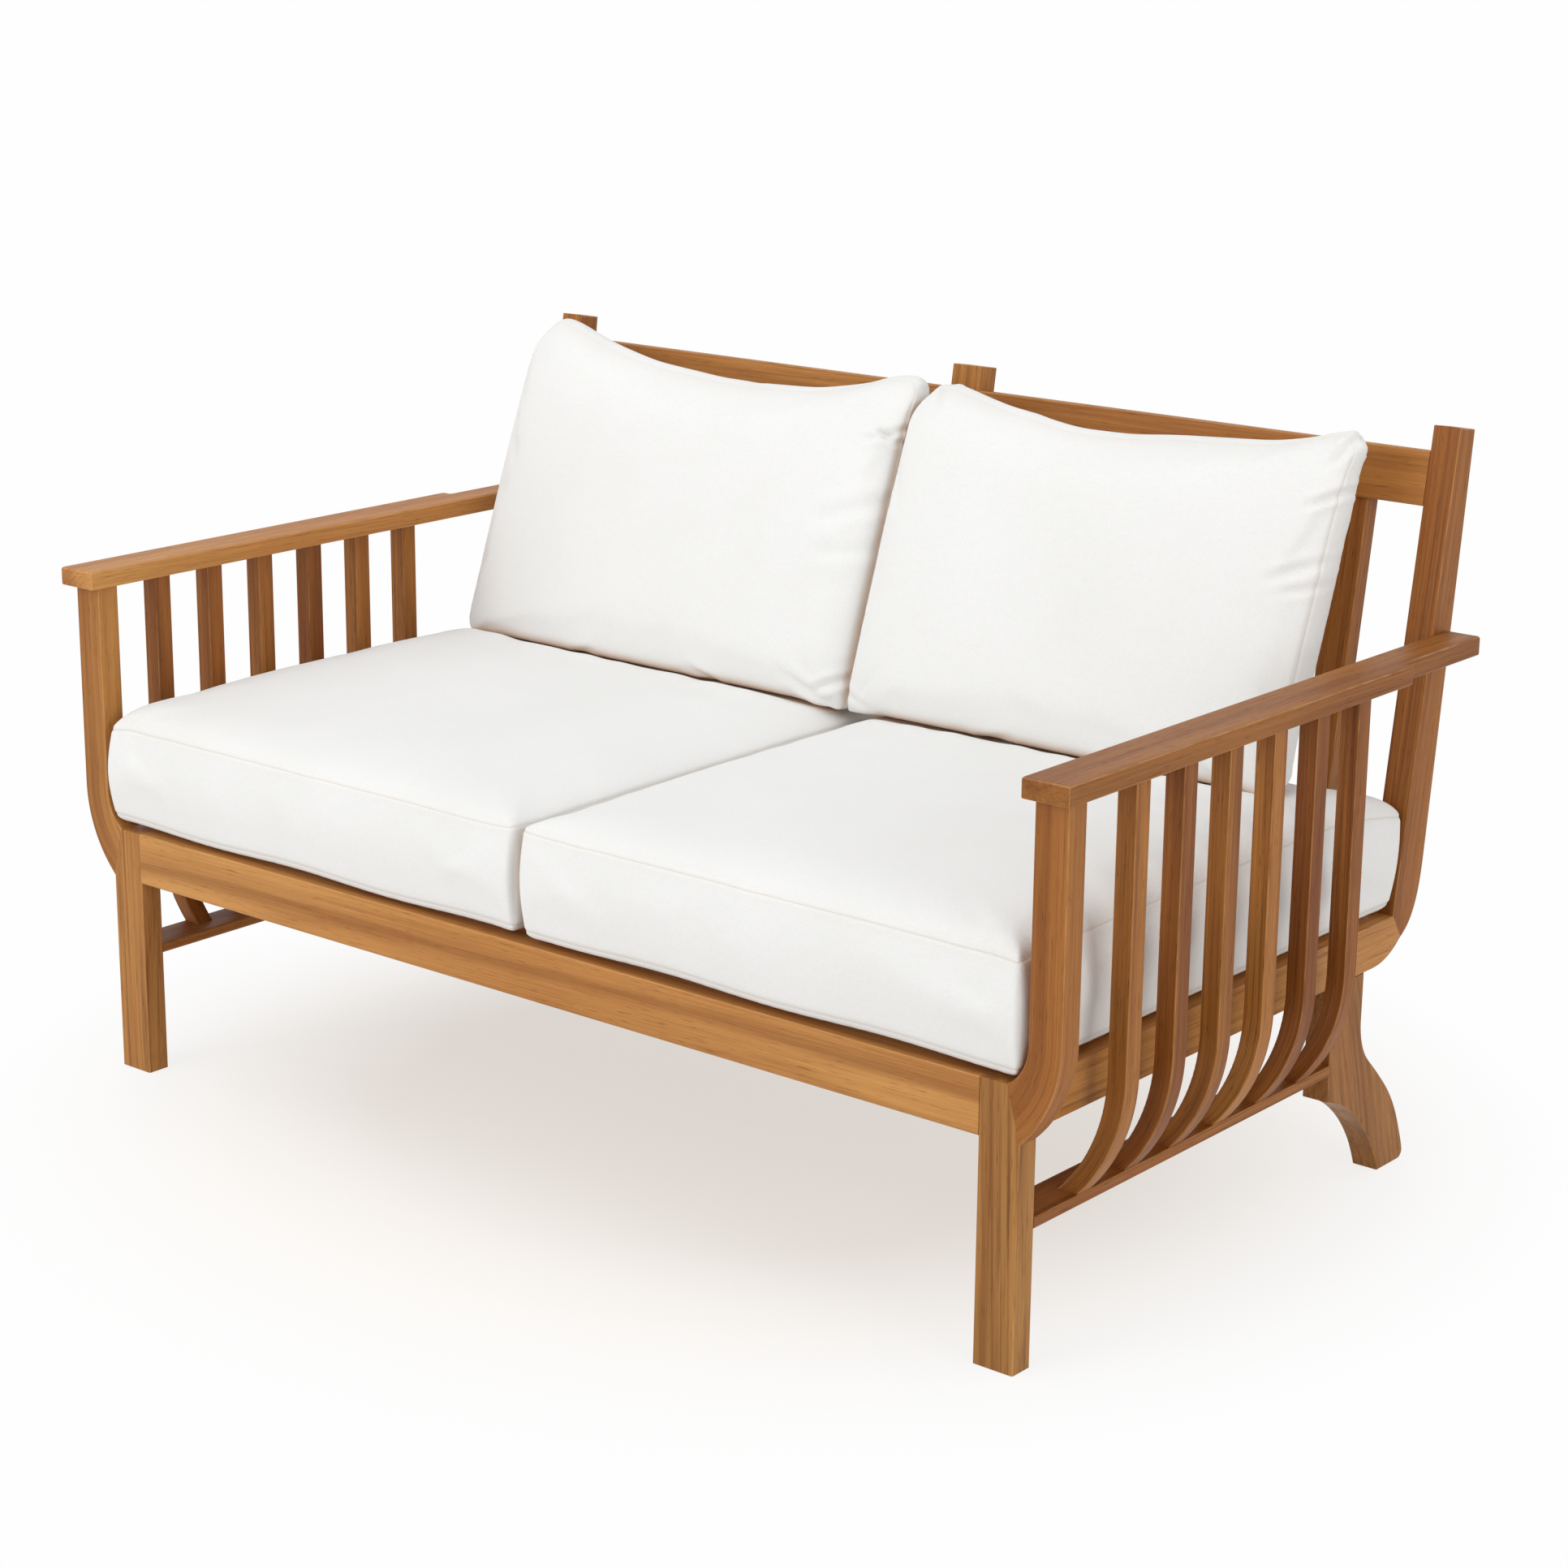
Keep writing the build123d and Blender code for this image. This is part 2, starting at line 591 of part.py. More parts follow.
# Back post: reclined in front, swelling towards the seat, its heel curving down to the side rail
with BuildPart() as back_post:
    with BuildSketch(side_plane(post_inner_x)):
        with BuildLine():
            top_rear_depth = back_top_depth + back_stock * cos(lean)
            top_rear_z = post_top_z - back_stock * sin(lean)
            swell_run = top_rear_depth - post_swell_depth
            swell_rise = top_rear_z - post_swell_z
            Line((mitre_top_depth, rail_top_z), (back_top_depth, post_top_z))
            Line((back_top_depth, post_top_z), (top_rear_depth, top_rear_z))
            Line((top_rear_depth, top_rear_z), (post_swell_depth, post_swell_z))
            Spline(
                (post_swell_depth, post_swell_z),
                (mitre_foot_depth, mitre_foot_z),
                tangents=((-swell_run, -swell_rise), heel_direction_shares),
            )
            Line((mitre_foot_depth, mitre_foot_z), (mitre_top_depth, rail_top_z))
        make_face()
    extrude(amount=post_width)
    post_inner = back_post.faces().sort_by(Axis.X)[0]
    post_outer = back_post.faces().sort_by(Axis.X)[-1]
    post_rim = (post_inner.edges() + post_outer.edges()).filter_by(lambda e: e.center().Z > rail_top_z)
    fillet(post_rim, edge_round)
    bore(mitre_points, mitre_turn)
    bore(post_rail_points, along_x)
    bore(lower_rail_points, along_x)
    bore(arm_tail_points, along_x)
save_pair(back_post.part, "back_post")

# Centre post: stands on the lower back rail between the two top rails
with BuildPart() as centre_post:
    with BuildSketch(back_plane(back_stock)):
        with Locations((0, (lower_rail_top_up + post_top_up) / 2)):
            Rectangle(centre_post_width, post_top_up - lower_rail_top_up)
    extrude(amount=back_stock)
    post_long = centre_post.edges().filter_by(lambda e: e.length > 2 * centre_post_width)
    fillet(post_long, edge_round)
    fillet(centre_post.faces().sort_by(Axis.Z)[-1].edges(), edge_round / 2)
    bore(centre_rail_points, along_x)
    bore([(-x, y, z) for x, y, z in centre_rail_points], along_x)
    bore(centre_foot_points, up_back)
save(centre_post.part, "centre_post")

# Top rails: one on each side of the centre post, flush with the posts in front
with BuildPart() as top_rail:
    with BuildSketch(back_plane(back_stock)):
        with Locations(((post_inner_x + centre_post_width / 2) / 2, top_rail_mid_up)):
            Rectangle(half_bay, top_rail_height)
    extrude(amount=back_stock)
    fillet(top_rail.edges().filter_by(Axis.X), edge_round)
    bore(post_rail_points, along_x)
    bore(centre_rail_points, along_x)
    small_bore(back_slat_top_points, up_back)
save_pair(top_rail.part, "top_rail")

# Lower back rail: one board from post to post behind the seat cushions
with BuildPart() as lower_back_rail:
    with BuildSketch(back_plane(back_stock)):
        with Locations((0, lower_rail_mid_up)):
            Rectangle(2 * post_inner_x, lower_rail_height)
    extrude(amount=back_stock)
    fillet(lower_back_rail.edges().filter_by(Axis.X), edge_round)
    bore(lower_rail_points, along_x)
    bore([(-x, y, z) for x, y, z in lower_rail_points], along_x)
    bore(centre_foot_points, up_back)
    small_bore(back_slat_foot_points, up_back)
    small_bore([(-x, y, z) for x, y, z in back_slat_foot_points], up_back)
save(lower_back_rail.part, "lower_back_rail")

# Back slats: upright boards set a little behind the front of the rails
for index, slat_x in enumerate(back_slat_xs):
    with BuildPart() as back_slat:
        with BuildSketch(back_plane(back_slat_setback + back_slat_thickness)):
            with Locations((slat_x, (lower_rail_top_up + top_rail_foot_up) / 2)):
                Rectangle(back_slat_width, top_rail_foot_up - lower_rail_top_up)
        extrude(amount=back_slat_thickness)
        tall = back_slat.edges().filter_by(lambda e: e.length > back_slat_pitch)
        fillet(tall, edge_round)
        small_bore(back_slat_top_points, up_back)
        small_bore(back_slat_foot_points, up_back)
    save_pair(back_slat.part, "back_slat_" + str(index + 1))

# Rear seat rail: closes the seat frame under the back
with BuildPart() as rear_seat_rail:
    with BuildSketch(side_plane(0)):
        with Locations((rear_rail_depth + rear_rail_stock / 2, side_rail_mid_z)):
            Rectangle(rear_rail_stock, side_rail_height)
    extrude(amount=side_inner_x, both=True)
    fillet(rear_seat_rail.edges().filter_by(Axis.X), edge_round)
    bore(rear_rail_points, along_x)
    bore([(-x, y, z) for x, y, z in rear_rail_points], along_x)
    bore(bearer_points[1:], along_y)
save(rear_seat_rail.part, "rear_seat_rail")

# Centre bearer: runs from the front rail to the rear seat rail under the seat slats
with BuildPart() as centre_bearer:
    with BuildSketch(plan_plane(side_rail_z)):
        with Locations((0, (front_stock + rear_rail_depth) / 2)):
            Rectangle(bearer_width, seat_span)
    extrude(amount=seat_slat_z - side_rail_z)
    bore(bearer_points, along_y)
    screw(bearer_slat_points, along_z, screw_play, Mode.SUBTRACT)
save(centre_bearer.part, "centre_bearer")

# Cleats: strips screwed inside the side rails to carry the ends of the seat slats
with BuildPart() as cleat:
    with BuildSketch(plan_plane(seat_slat_z - cleat_height)):
        with Locations((cleat_mid_x, (front_stock + rear_rail_depth) / 2)):
            Rectangle(cleat_width, seat_span)
    extrude(amount=cleat_height)
    screw(cleat_screw_points, cleat_screw_turn, screw_play, Mode.SUBTRACT)
    screw(cleat_slat_points, along_z, screw_play, Mode.SUBTRACT)
save_pair(cleat.part, "cleat")

# Seat slats: boards from side to side, level with the top of the rails
for index, slat_mid in enumerate(seat_slat_mids):
    with BuildPart() as seat_slat:
        with BuildSketch(plan_plane(seat_slat_z)):
            with Locations((0, slat_mid)):
                Rectangle(2 * (side_inner_x - seat_slat_end_gap), seat_slat_width)
        extrude(amount=seat_slat_thickness)
        fillet(seat_slat.edges().filter_by(Axis.X), edge_round)
        screw([cleat_slat_points[index]], along_z, screw_play, Mode.SUBTRACT)
        screw([(-x, y, z) for x, y, z in [cleat_slat_points[index]]], along_z, screw_play, Mode.SUBTRACT)
        screw([bearer_slat_points[index]], along_z, screw_play, Mode.SUBTRACT)
    save(seat_slat.part, "seat_slat_" + str(index + 1))

# Seat screws: every slat into both cleats and the bearer, and every cleat into its side rail
with BuildPart() as seat_screws:
    screw(cleat_slat_points, along_z, 0, Mode.ADD)
    screw(cleat_screw_points, cleat_screw_turn, 0, Mode.ADD)
    mirror(about=Plane.YZ)
    screw(bearer_slat_points, along_z, 0, Mode.ADD)
save(seat_screws.part, "seat_screws")

# Dowels of the rails, legs, posts and armrests
with BuildPart() as dowels:
    peg(front_rail_points, along_x, dowel_radius, dowel_length, Mode.ADD)
    peg(side_front_points, along_y, dowel_radius, dowel_length, Mode.ADD)
    peg(rear_leg_points, along_z, dowel_radius, dowel_length, Mode.ADD)
    peg(mitre_points, mitre_turn, dowel_radius, dowel_length, Mode.ADD)
    peg(rear_rail_points, along_x, dowel_radius, dowel_length, Mode.ADD)
    peg(post_rail_points, along_x, dowel_radius, dowel_length, Mode.ADD)
    peg(centre_rail_points, along_x, dowel_radius, dowel_length, Mode.ADD)
    peg(lower_rail_points, along_x, dowel_radius, dowel_length, Mode.ADD)
    peg(arm_post_points, along_z, dowel_radius, dowel_length, Mode.ADD)
    peg(arm_tail_points, along_x, dowel_radius, dowel_length, Mode.ADD)
    mirror(about=Plane.YZ)
    peg(centre_foot_points, up_back, dowel_radius, dowel_length, Mode.ADD)
    peg(bearer_points, along_y, dowel_radius, dowel_length, Mode.ADD)
save(dowels.part, "dowels")

# Small dowels of the slats, the stretchers and the slanted joint of leg and arm post
with BuildPart() as small_dowels:
    peg(scarf_points, scarf_turn, small_dowel_radius, small_dowel_length, Mode.ADD)
    peg(stretcher_front_points, along_y, small_dowel_radius, small_dowel_length, Mode.ADD)
    peg(stretcher_rear_points, along_y, small_dowel_radius, small_dowel_length, Mode.ADD)
    peg(arm_slat_top_points, along_z, small_dowel_radius, small_dowel_length, Mode.ADD)
    peg(arm_slat_foot_points, along_z, small_dowel_radius, small_dowel_length, Mode.ADD)
    peg(back_slat_top_points, up_back, small_dowel_radius, small_dowel_length, Mode.ADD)
    peg(back_slat_foot_points, up_back, small_dowel_radius, small_dowel_length, Mode.ADD)
    mirror(about=Plane.YZ)
save(small_dowels.part, "small_dowels")


# An arc between two points that bulges to the right of the way it is drawn
def swell(start, end, bulge):
    middle_x = (start[0] + end[0]) / 2
    middle_y = (start[1] + end[1]) / 2
    run = end[0] - start[0]
    rise = end[1] - start[1]
    span = sqrt(run * run + rise * rise)
    ThreePointArc(start, (middle_x + bulge * rise / span, middle_y - bulge * run / span), end)


# Side view of a seat cushion, drawn in by the same amount all round, with its crown
def seat_section(plane, draw, crown):
    base = rail_top_z + cushion_gap + draw
    rear_low_z = base + seat_edge
    rear_high_z = seat_shoulder_z - draw
    slack = 2 * cushion_gap + draw
    front = seat_front_depth + draw
    rear_low = back_foot_depth + rear_low_z * tan(lean) - slack
    rear_high = back_foot_depth + rear_high_z * tan(lean) - slack
    corner = seat_edge * corner_bulge_share
    start = (front + seat_edge, base)
    under_rear = (rear_low - seat_edge, base)
    rear_foot = (rear_low, rear_low_z)
    shoulder = (rear_high, rear_high_z)
    rest_rear = (seat_rest_rear - draw, seat_rest_z - draw)
    rest_front = (seat_rest_front, seat_rest_z - draw)
    seam = (front, seat_seam_z - draw)
    front_foot = (front, rear_low_z)
    with BuildSketch(plane) as section:
        with BuildLine():
            Line(start, under_rear)
            swell(under_rear, rear_foot, corner)
            Line(rear_foot, shoulder)
            swell(shoulder, rest_rear, 2 * corner)
            Line(rest_rear, rest_front)
            swell(rest_front, seam, crown * seat_crown)
            swell(seam, front_foot, seat_front_bulge)
            swell(front_foot, start, corner)
        make_face()
    return section.sketch


def seat_cushion(inner_x, outer_x):
    sections = []
    for share, draw, crown in zip(station_shares, draw_shares, crown_shares):
        x = inner_x + share * (outer_x - inner_x)
        sections.append(seat_section(side_plane(x), draw * cushion_draw, crown))
    loft(sections, ruled=True)


# Seat cushions: boxed pads lying on the rails and the seat slats
seat_side_x = arm_post_inner_x - seat_side_gap
with BuildPart() as seat_cushion_right:
    seat_cushion(seat_split_x + cushion_gap / 2, seat_side_x)
save(seat_cushion_right.part, "seat_cushion_right")

with BuildPart() as seat_cushion_left:
    seat_cushion(-seat_side_x, seat_split_x - cushion_gap / 2)
save(seat_cushion_left.part, "seat_cushion_left")


# How far back the front or the rear of a back cushion lies at a height, stopped by the posts and rails
def back_skin(z, offset):
    posts = back_foot_depth + z * tan(lean) - 2 * cushion_gap
    return min(back_foot_mid + (z - seat_rest_z) * back_slope + offset, posts)


# Side view of a back cushion: a pillow with a narrow border, standing on the seat, leaning on the slats
def back_section(plane, stretch, draw, plump, ear):
    base_z = seat_rest_z + cushion_gap
    foot_z = base_z + draw
    top_z = back_top_z + ear * back_ear_rise - draw
    low_z = base_z + back_rear_low_share * (back_top_z - base_z)
    high_z = back_top_z - back_rear_high_drop
    half = (back_border - draw) / 2
    rear = half + plump * back_rear_swell
    front_foot = (back_skin(foot_z, -half), draw * stretch)
    rear_foot = (back_skin(foot_z, half), draw * stretch)
    rear_low = (back_skin(low_z, rear), (low_z - base_z) * stretch)
    rear_high = (back_skin(high_z, rear), (high_z - base_z) * stretch)
    rear_top = (back_skin(top_z, half), (top_z - base_z) * stretch)
    front_top = (back_skin(top_z, -half), (top_z - base_z) * stretch)
    with BuildSketch(plane) as section:
        with BuildLine():
            Line(front_foot, rear_foot)
            swell(rear_foot, rear_low, plump * back_rear_round)
            Line(rear_low, rear_high)
            swell(rear_high, rear_top, plump * back_rear_round)
            Line(rear_top, front_top)
            swell(front_top, front_foot, plump * back_front_swell)
        make_face()
    return section.sketch


def back_cushion(foot_start_x, foot_end_x, top_start_x, top_end_x):
    base_z = seat_rest_z + cushion_gap
    height = back_top_z - base_z
    sections = []
    for share, draw, plump, ear in zip(back_station_shares, back_draw_shares, plump_shares, ear_shares):
        foot_x = foot_start_x + share * (foot_end_x - foot_start_x)
        top_x = top_start_x + share * (top_end_x - top_start_x)
        drift = top_x - foot_x
        stretch = sqrt(1 + drift * drift / (height * height))
        plane = Plane(origin=(foot_x, front_y, base_z), x_dir=(0, 1, 0), z_dir=(height, 0, -drift))
        sections.append(back_section(plane, stretch, draw * back_draw, plump, ear))
    loft(sections, ruled=True)


# Back cushions: soft pillows standing on the seat cushions and leaning on the slatted back
right_start_x = back_split_x + cushion_gap / 2
left_end_x = back_split_x - cushion_gap / 2
with BuildPart() as back_cushion_right:
    back_cushion(right_start_x, back_right_foot_x, right_start_x, back_right_top_x)
save(back_cushion_right.part, "back_cushion_right")

with BuildPart() as back_cushion_left:
    back_cushion(back_left_foot_x, left_end_x, back_left_top_x, left_end_x)
save(back_cushion_left.part, "back_cushion_left")
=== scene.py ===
import math
import bpy
import numpy as np
from mathutils import Euler, Matrix, Vector


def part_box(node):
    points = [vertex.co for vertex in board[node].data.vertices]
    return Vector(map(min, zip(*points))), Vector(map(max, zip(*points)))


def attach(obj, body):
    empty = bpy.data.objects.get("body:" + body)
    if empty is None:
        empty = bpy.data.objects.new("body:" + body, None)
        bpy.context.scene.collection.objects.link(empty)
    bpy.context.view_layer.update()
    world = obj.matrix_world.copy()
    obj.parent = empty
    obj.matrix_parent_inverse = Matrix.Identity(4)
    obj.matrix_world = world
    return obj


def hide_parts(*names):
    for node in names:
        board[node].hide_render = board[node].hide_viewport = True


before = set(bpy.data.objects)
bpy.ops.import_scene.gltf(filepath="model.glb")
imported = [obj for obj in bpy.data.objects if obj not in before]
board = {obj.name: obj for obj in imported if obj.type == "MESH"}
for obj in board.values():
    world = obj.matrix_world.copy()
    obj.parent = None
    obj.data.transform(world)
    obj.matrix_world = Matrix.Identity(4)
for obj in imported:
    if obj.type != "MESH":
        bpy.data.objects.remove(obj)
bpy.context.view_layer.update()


# Front legs: two straight boards of oiled teak, planed and softly rounded, with the top outer corner
# cut on a slant for the bent arm post. The front rail is doweled between them.
# The teak that every board of the frame is sawn from is mixed here.
def tint(red, green, blue):
    shares = []
    for value in (red / 255, green / 255, blue / 255):
        shares.append(value / 12.92 if value <= 0.04045 else ((value + 0.055) / 1.055) ** 2.4)
    return (shares[0], shares[1], shares[2], 1.0)


def plug(tree, value, socket):
    if isinstance(value, bpy.types.NodeSocket):
        tree.links.new(value, socket)
    else:
        socket.default_value = value


def reckon(tree, operation, *values):
    node = tree.nodes.new("ShaderNodeMath")
    node.operation = operation
    for socket, value in zip(node.inputs, values):
        plug(tree, value, socket)
    return node.outputs[0]


def steer(tree, operation, *values):
    node = tree.nodes.new("ShaderNodeVectorMath")
    node.operation = operation
    for socket, value in zip(node.inputs, values):
        plug(tree, value, socket)
    return node.outputs["Value" if operation == "LENGTH" else "Vector"]


def split_up(tree, vector):
    node = tree.nodes.new("ShaderNodeSeparateXYZ")
    plug(tree, vector, node.inputs[0])
    return node.outputs


def mottle(tree, place, stretch, detail, rough=0.5, colour=False):
    node = tree.nodes.new("ShaderNodeTexNoise")
    node.inputs["Scale"].default_value = 1.0
    node.inputs["Detail"].default_value = detail
    node.inputs["Roughness"].default_value = rough
    plug(tree, steer(tree, "MULTIPLY", place, stretch), node.inputs["Vector"])
    return node.outputs["Color" if colour else "Fac"]


def span(tree, value, low, high, new_low=0.0, new_high=1.0):
    node = tree.nodes.new("ShaderNodeMapRange")
    for socket, entry in zip(node.inputs, (value, low, high, new_low, new_high)):
        plug(tree, entry, socket)
    return node.outputs[0]


def blend(tree, share, first, second, how="MIX"):
    node = tree.nodes.new("ShaderNodeMix")
    node.data_type = "RGBA"
    node.blend_type = how
    plug(tree, share, node.inputs[0])
    plug(tree, first, node.inputs[6])
    plug(tree, second, node.inputs[7])
    return node.outputs[2]


def grade(tree, value, stops):
    node = tree.nodes.new("ShaderNodeValToRGB")
    ramp = node.color_ramp
    while len(ramp.elements) < len(stops):
        ramp.elements.new(0.5)
    for element, (spot, level) in zip(ramp.elements, stops):
        element.position = spot
        element.color = (level, level, level, 1.0)
    plug(tree, value, node.inputs[0])
    return node.outputs["Color"]


def fresh_finish(name):
    finish = bpy.data.materials.new(name)
    finish.use_nodes = True
    tree = finish.node_tree
    place = tree.nodes.new("ShaderNodeTexCoord").outputs["Object"]
    return finish, tree, tree.nodes["Principled BSDF"], place


def roughen(tree, shader, height, strength, depth):
    raised = tree.nodes.new("ShaderNodeBump")
    raised.inputs["Strength"].default_value = strength
    raised.inputs["Distance"].default_value = depth
    plug(tree, height, raised.inputs["Height"])
    plug(tree, raised.outputs["Normal"], shader.inputs["Normal"])


def dress(name, finish):
    piece = board[name]
    piece.data.materials.clear()
    piece.data.materials.append(None)
    piece.material_slots[0].link = "OBJECT"
    piece.material_slots[0].material = finish


teak_gold = tint(205, 149, 83)
teak_honey = tint(180, 118, 58)
teak_brown = tint(128, 72, 29)
teak_dark = tint(80, 40, 16)
# the colour of the rounded edges: a painted highlight, with rubbed wear
teak_edge_highlight_and_wear = tint(214, 164, 110)
# marks to a metre across the grain and along it, then how detailed and how rough they are
grain_marks = {
    "bands": (20, 0.8, 3, 0.6),
    "stripes": (85, 1.6, 3, 0.6),
    "streaks": (240, 2.4, 2, 0.6),
    "clouds": (7, 1.1, 2, 0.5),
    "fibres": (520, 8, 3, 0.6),
    "pores": (900, 42, 1, 0.5),
    "rubbing": (60, 30, 2, 0.5),
}
# how wide a growth ring is in metres, and how dark the wood is on the way through one year
ring_width = 0.0072
year_shares = ((0.0, 0.95), (0.10, 0.55), (0.22, 0.14), (0.8, 0.0), (1.0, 0.8))
# how far the rings wander, slowly and quickly, and half the width of the dark band, in metres
slow_wander = 0.030
quick_wander = 0.0022
dark_band_half = 0.0085
board_shift = (1.73, 0.91, 2.37)
middle_grey = (0.5, 0.5, 0.5)
# how squarely a face looks along one side of its board: a flat face first, then a rounded edge, which is
# painted lighter as a highlight with rubbed wear
edge_facing = (0.97, 0.8)


def teak_figure():
    group = bpy.data.node_groups.new("teak figure", "ShaderNodeTree")
    for name in ("Place", "Pith"):
        group.interface.new_socket(name, in_out="INPUT", socket_type="NodeSocketVector")
    for name in ("Board", "Tone", "Warmth", "Lines", "Band", "Edge"):
        group.interface.new_socket(name, in_out="INPUT", socket_type="NodeSocketFloat")
    for name, kind in (("Colour", "Color"), ("Gloss", "Float"), ("Relief", "Float")):
        group.interface.new_socket(name, in_out="OUTPUT", socket_type="NodeSocket" + kind)
    given = group.nodes.new("NodeGroupInput").outputs
    made = group.nodes.new("NodeGroupOutput").inputs

    def stain(colour, grain, low, high, most, wood):
        return blend(group, span(group, grain, low, high, 0.0, most), colour, wood)

    # every board is cut from its own place in the log
    apart = group.nodes.new("ShaderNodeCombineXYZ")
    for socket, share in zip(apart.inputs, board_shift):
        plug(group, reckon(group, "MULTIPLY", given["Board"], share), socket)
    own = steer(group, "ADD", given["Place"], apart.outputs[0])
    marks = {}
    for kind, (fine, long, detail, rough) in grain_marks.items():
        marks[kind] = mottle(group, own, (fine, fine, long), detail, rough)
    fibres = marks["fibres"]
    pores = span(group, marks["pores"], 0.64, 0.74)
    # growth rings round the heart of the log, pushed about so that sawn faces show arches and waves
    slow = steer(group, "SUBTRACT", mottle(group, own, (8, 8, 1.5), 2, colour=True), middle_grey)
    quick = steer(group, "SUBTRACT", mottle(group, own, (55, 55, 7), 2, colour=True), middle_grey)
    slow = steer(group, "MULTIPLY", slow, (slow_wander, slow_wander, 0.0))
    quick = steer(group, "MULTIPLY", quick, (quick_wander, quick_wander, 0.0))
    wander = steer(group, "ADD", slow, quick)
    out = steer(group, "ADD", steer(group, "SUBTRACT", given["Place"], given["Pith"]), wander)
    radius = steer(group, "LENGTH", steer(group, "MULTIPLY", out, (1.0, 1.0, 0.0)))
    count = reckon(group, "DIVIDE", radius, ring_width)
    rings = grade(group, reckon(group, "FRACT", count), year_shares)
    year = mottle(group, steer(group, "MULTIPLY", out, (1.0, 1.0, 0.15)), (38, 38, 38), 1)
    rings = reckon(group, "MULTIPLY", rings, span(group, year, 0.35, 0.65, 0.25, 1.0))
    # light and dark wood in bands, stripes and streaks, with the late wood of the rings over them
    bold = reckon(group, "MULTIPLY", given["Lines"], 0.55)
    light = reckon(group, "MULTIPLY", bold, 0.65)
    late = reckon(group, "MULTIPLY", rings, reckon(group, "MULTIPLY_ADD", bold, 0.65, 0.18))
    colour = blend(group, span(group, marks["clouds"], 0.3, 0.7), teak_honey, teak_gold)
    colour = stain(colour, marks["bands"], 0.48, 0.74, 0.75, teak_brown)
    colour = stain(colour, marks["bands"], 0.66, 0.84, 0.55, teak_dark)
    colour = stain(colour, marks["stripes"], 0.48, 0.72, bold, teak_brown)
    colour = stain(colour, marks["stripes"], 0.46, 0.26, light, teak_gold)
    colour = stain(colour, marks["streaks"], 0.56, 0.72, bold, teak_dark)
    colour = blend(group, late, colour, teak_brown)
    # one broad darker band that wanders along the board, then fine fibres and short open pores
    aside = split_up(group, steer(group, "MULTIPLY_ADD", wander, (1.3, 1.3, 0.0), given["Place"]))
    off = reckon(group, "DIVIDE", reckon(group, "ABSOLUTE", aside[0]), dark_band_half)
    band = reckon(group, "POWER", 0.37, reckon(group, "POWER", off, 2.6))
    colour = blend(group, reckon(group, "MULTIPLY", band, given["Band"]), colour, teak_brown)
    colour = stain(colour, fibres, 0.45, 0.75, 0.30, teak_brown)
    colour = stain(colour, fibres, 0.5, 0.22, 0.22, teak_gold)
    colour = blend(group, reckon(group, "MULTIPLY", pores, 0.42), colour, teak_dark)
    # darker boards are also warmer, and edges are painted lighter: a painted highlight along the rounded
    # edges, mottled with rubbed wear
    deepen = group.nodes.new("ShaderNodeGamma")
    plug(group, colour, deepen.inputs[0])
    warm = reckon(group, "MULTIPLY", given["Tone"], given["Warmth"])
    plug(group, reckon(group, "SUBTRACT", 1.0, warm), deepen.inputs[1])
    plain = reckon(group, "SUBTRACT", given["Tone"], reckon(group, "MULTIPLY", warm, 0.7))
    colour = blend(group, 1.0, deepen.outputs[0], reckon(group, "ADD", plain, 1.0), "MULTIPLY")
    # painted highlight with rubbed wear: rounded edges turn lighter in a mottled way
    edge_mottle_share = span(group, marks["rubbing"], 0.35, 0.6, 0.1, 0.38)
    edge_highlight_and_wear = reckon(group, "MULTIPLY", given["Edge"], edge_mottle_share)
    plug(group, blend(group, edge_highlight_and_wear, colour, teak_edge_highlight_and_wear), made["Colour"])
    gloss = span(group, fibres, 0.2, 0.8, 0.40, 0.52)
    gloss = reckon(group, "ADD", gloss, reckon(group, "MULTIPLY", pores, 0.2))
    plug(group, reckon(group, "SUBTRACT", gloss, reckon(group, "MULTIPLY", edge_highlight_and_wear, 0.15)), made["Gloss"])
    relief = reckon(group, "MULTIPLY", fibres, 0.5)
    relief = reckon(group, "SUBTRACT", relief, reckon(group, "MULTIPLY", pores, 0.9))
    plug(group, reckon(group, "SUBTRACT", relief, reckon(group, "MULTIPLY", rings, 0.25)), made["Relief"])
    return group


figure = teak_figure()
grain_turns = {"x": (0, -math.pi / 2, 0), "y": (math.pi / 2, 0, 0), "z": (0, 0, 0)}


def lay_along_bend(tree, place, normal, middle, bend, knob):
    """Runs the grain round a bend, given as a radius and a centre in x and z, then straight up."""
    radius, centre_x, centre_z = bend
    parts = split_up(tree, place)
    across = reckon(tree, "SUBTRACT", reckon(tree, "ABSOLUTE", parts[0]), centre_x)
    height = reckon(tree, "SUBTRACT", parts[2], centre_z)
    below = reckon(tree, "MINIMUM", height, 0.0)
    square = reckon(tree, "MULTIPLY", below, below)
    reach = reckon(tree, "SQRT", reckon(tree, "MULTIPLY_ADD", across, across, square))
    turned = reckon(tree, "MULTIPLY", reckon(tree, "ARCTAN2", below, across), radius)
    laid = tree.nodes.new("ShaderNodeCombineXYZ")
    plug(tree, reckon(tree, "SUBTRACT", reach, radius), laid.inputs[0])
    plug(tree, reckon(tree, "SUBTRACT", parts[1], middle.y), laid.inputs[1])
    plug(tree, reckon(tree, "ADD", turned, reckon(tree, "MAXIMUM", height, 0.0)), laid.inputs[2])
    plug(tree, laid.outputs[0], knob.inputs["Place"])
    faces = split_up(tree, steer(tree, "ABSOLUTE", normal))
    curved = steer(tree, "LENGTH", steer(tree, "MULTIPLY", normal, (1.0, 0.0, 1.0)))
    squarest = reckon(tree, "MAXIMUM", faces[1], curved)
    plug(tree, span(tree, squarest, *edge_facing), knob.inputs["Edge"])


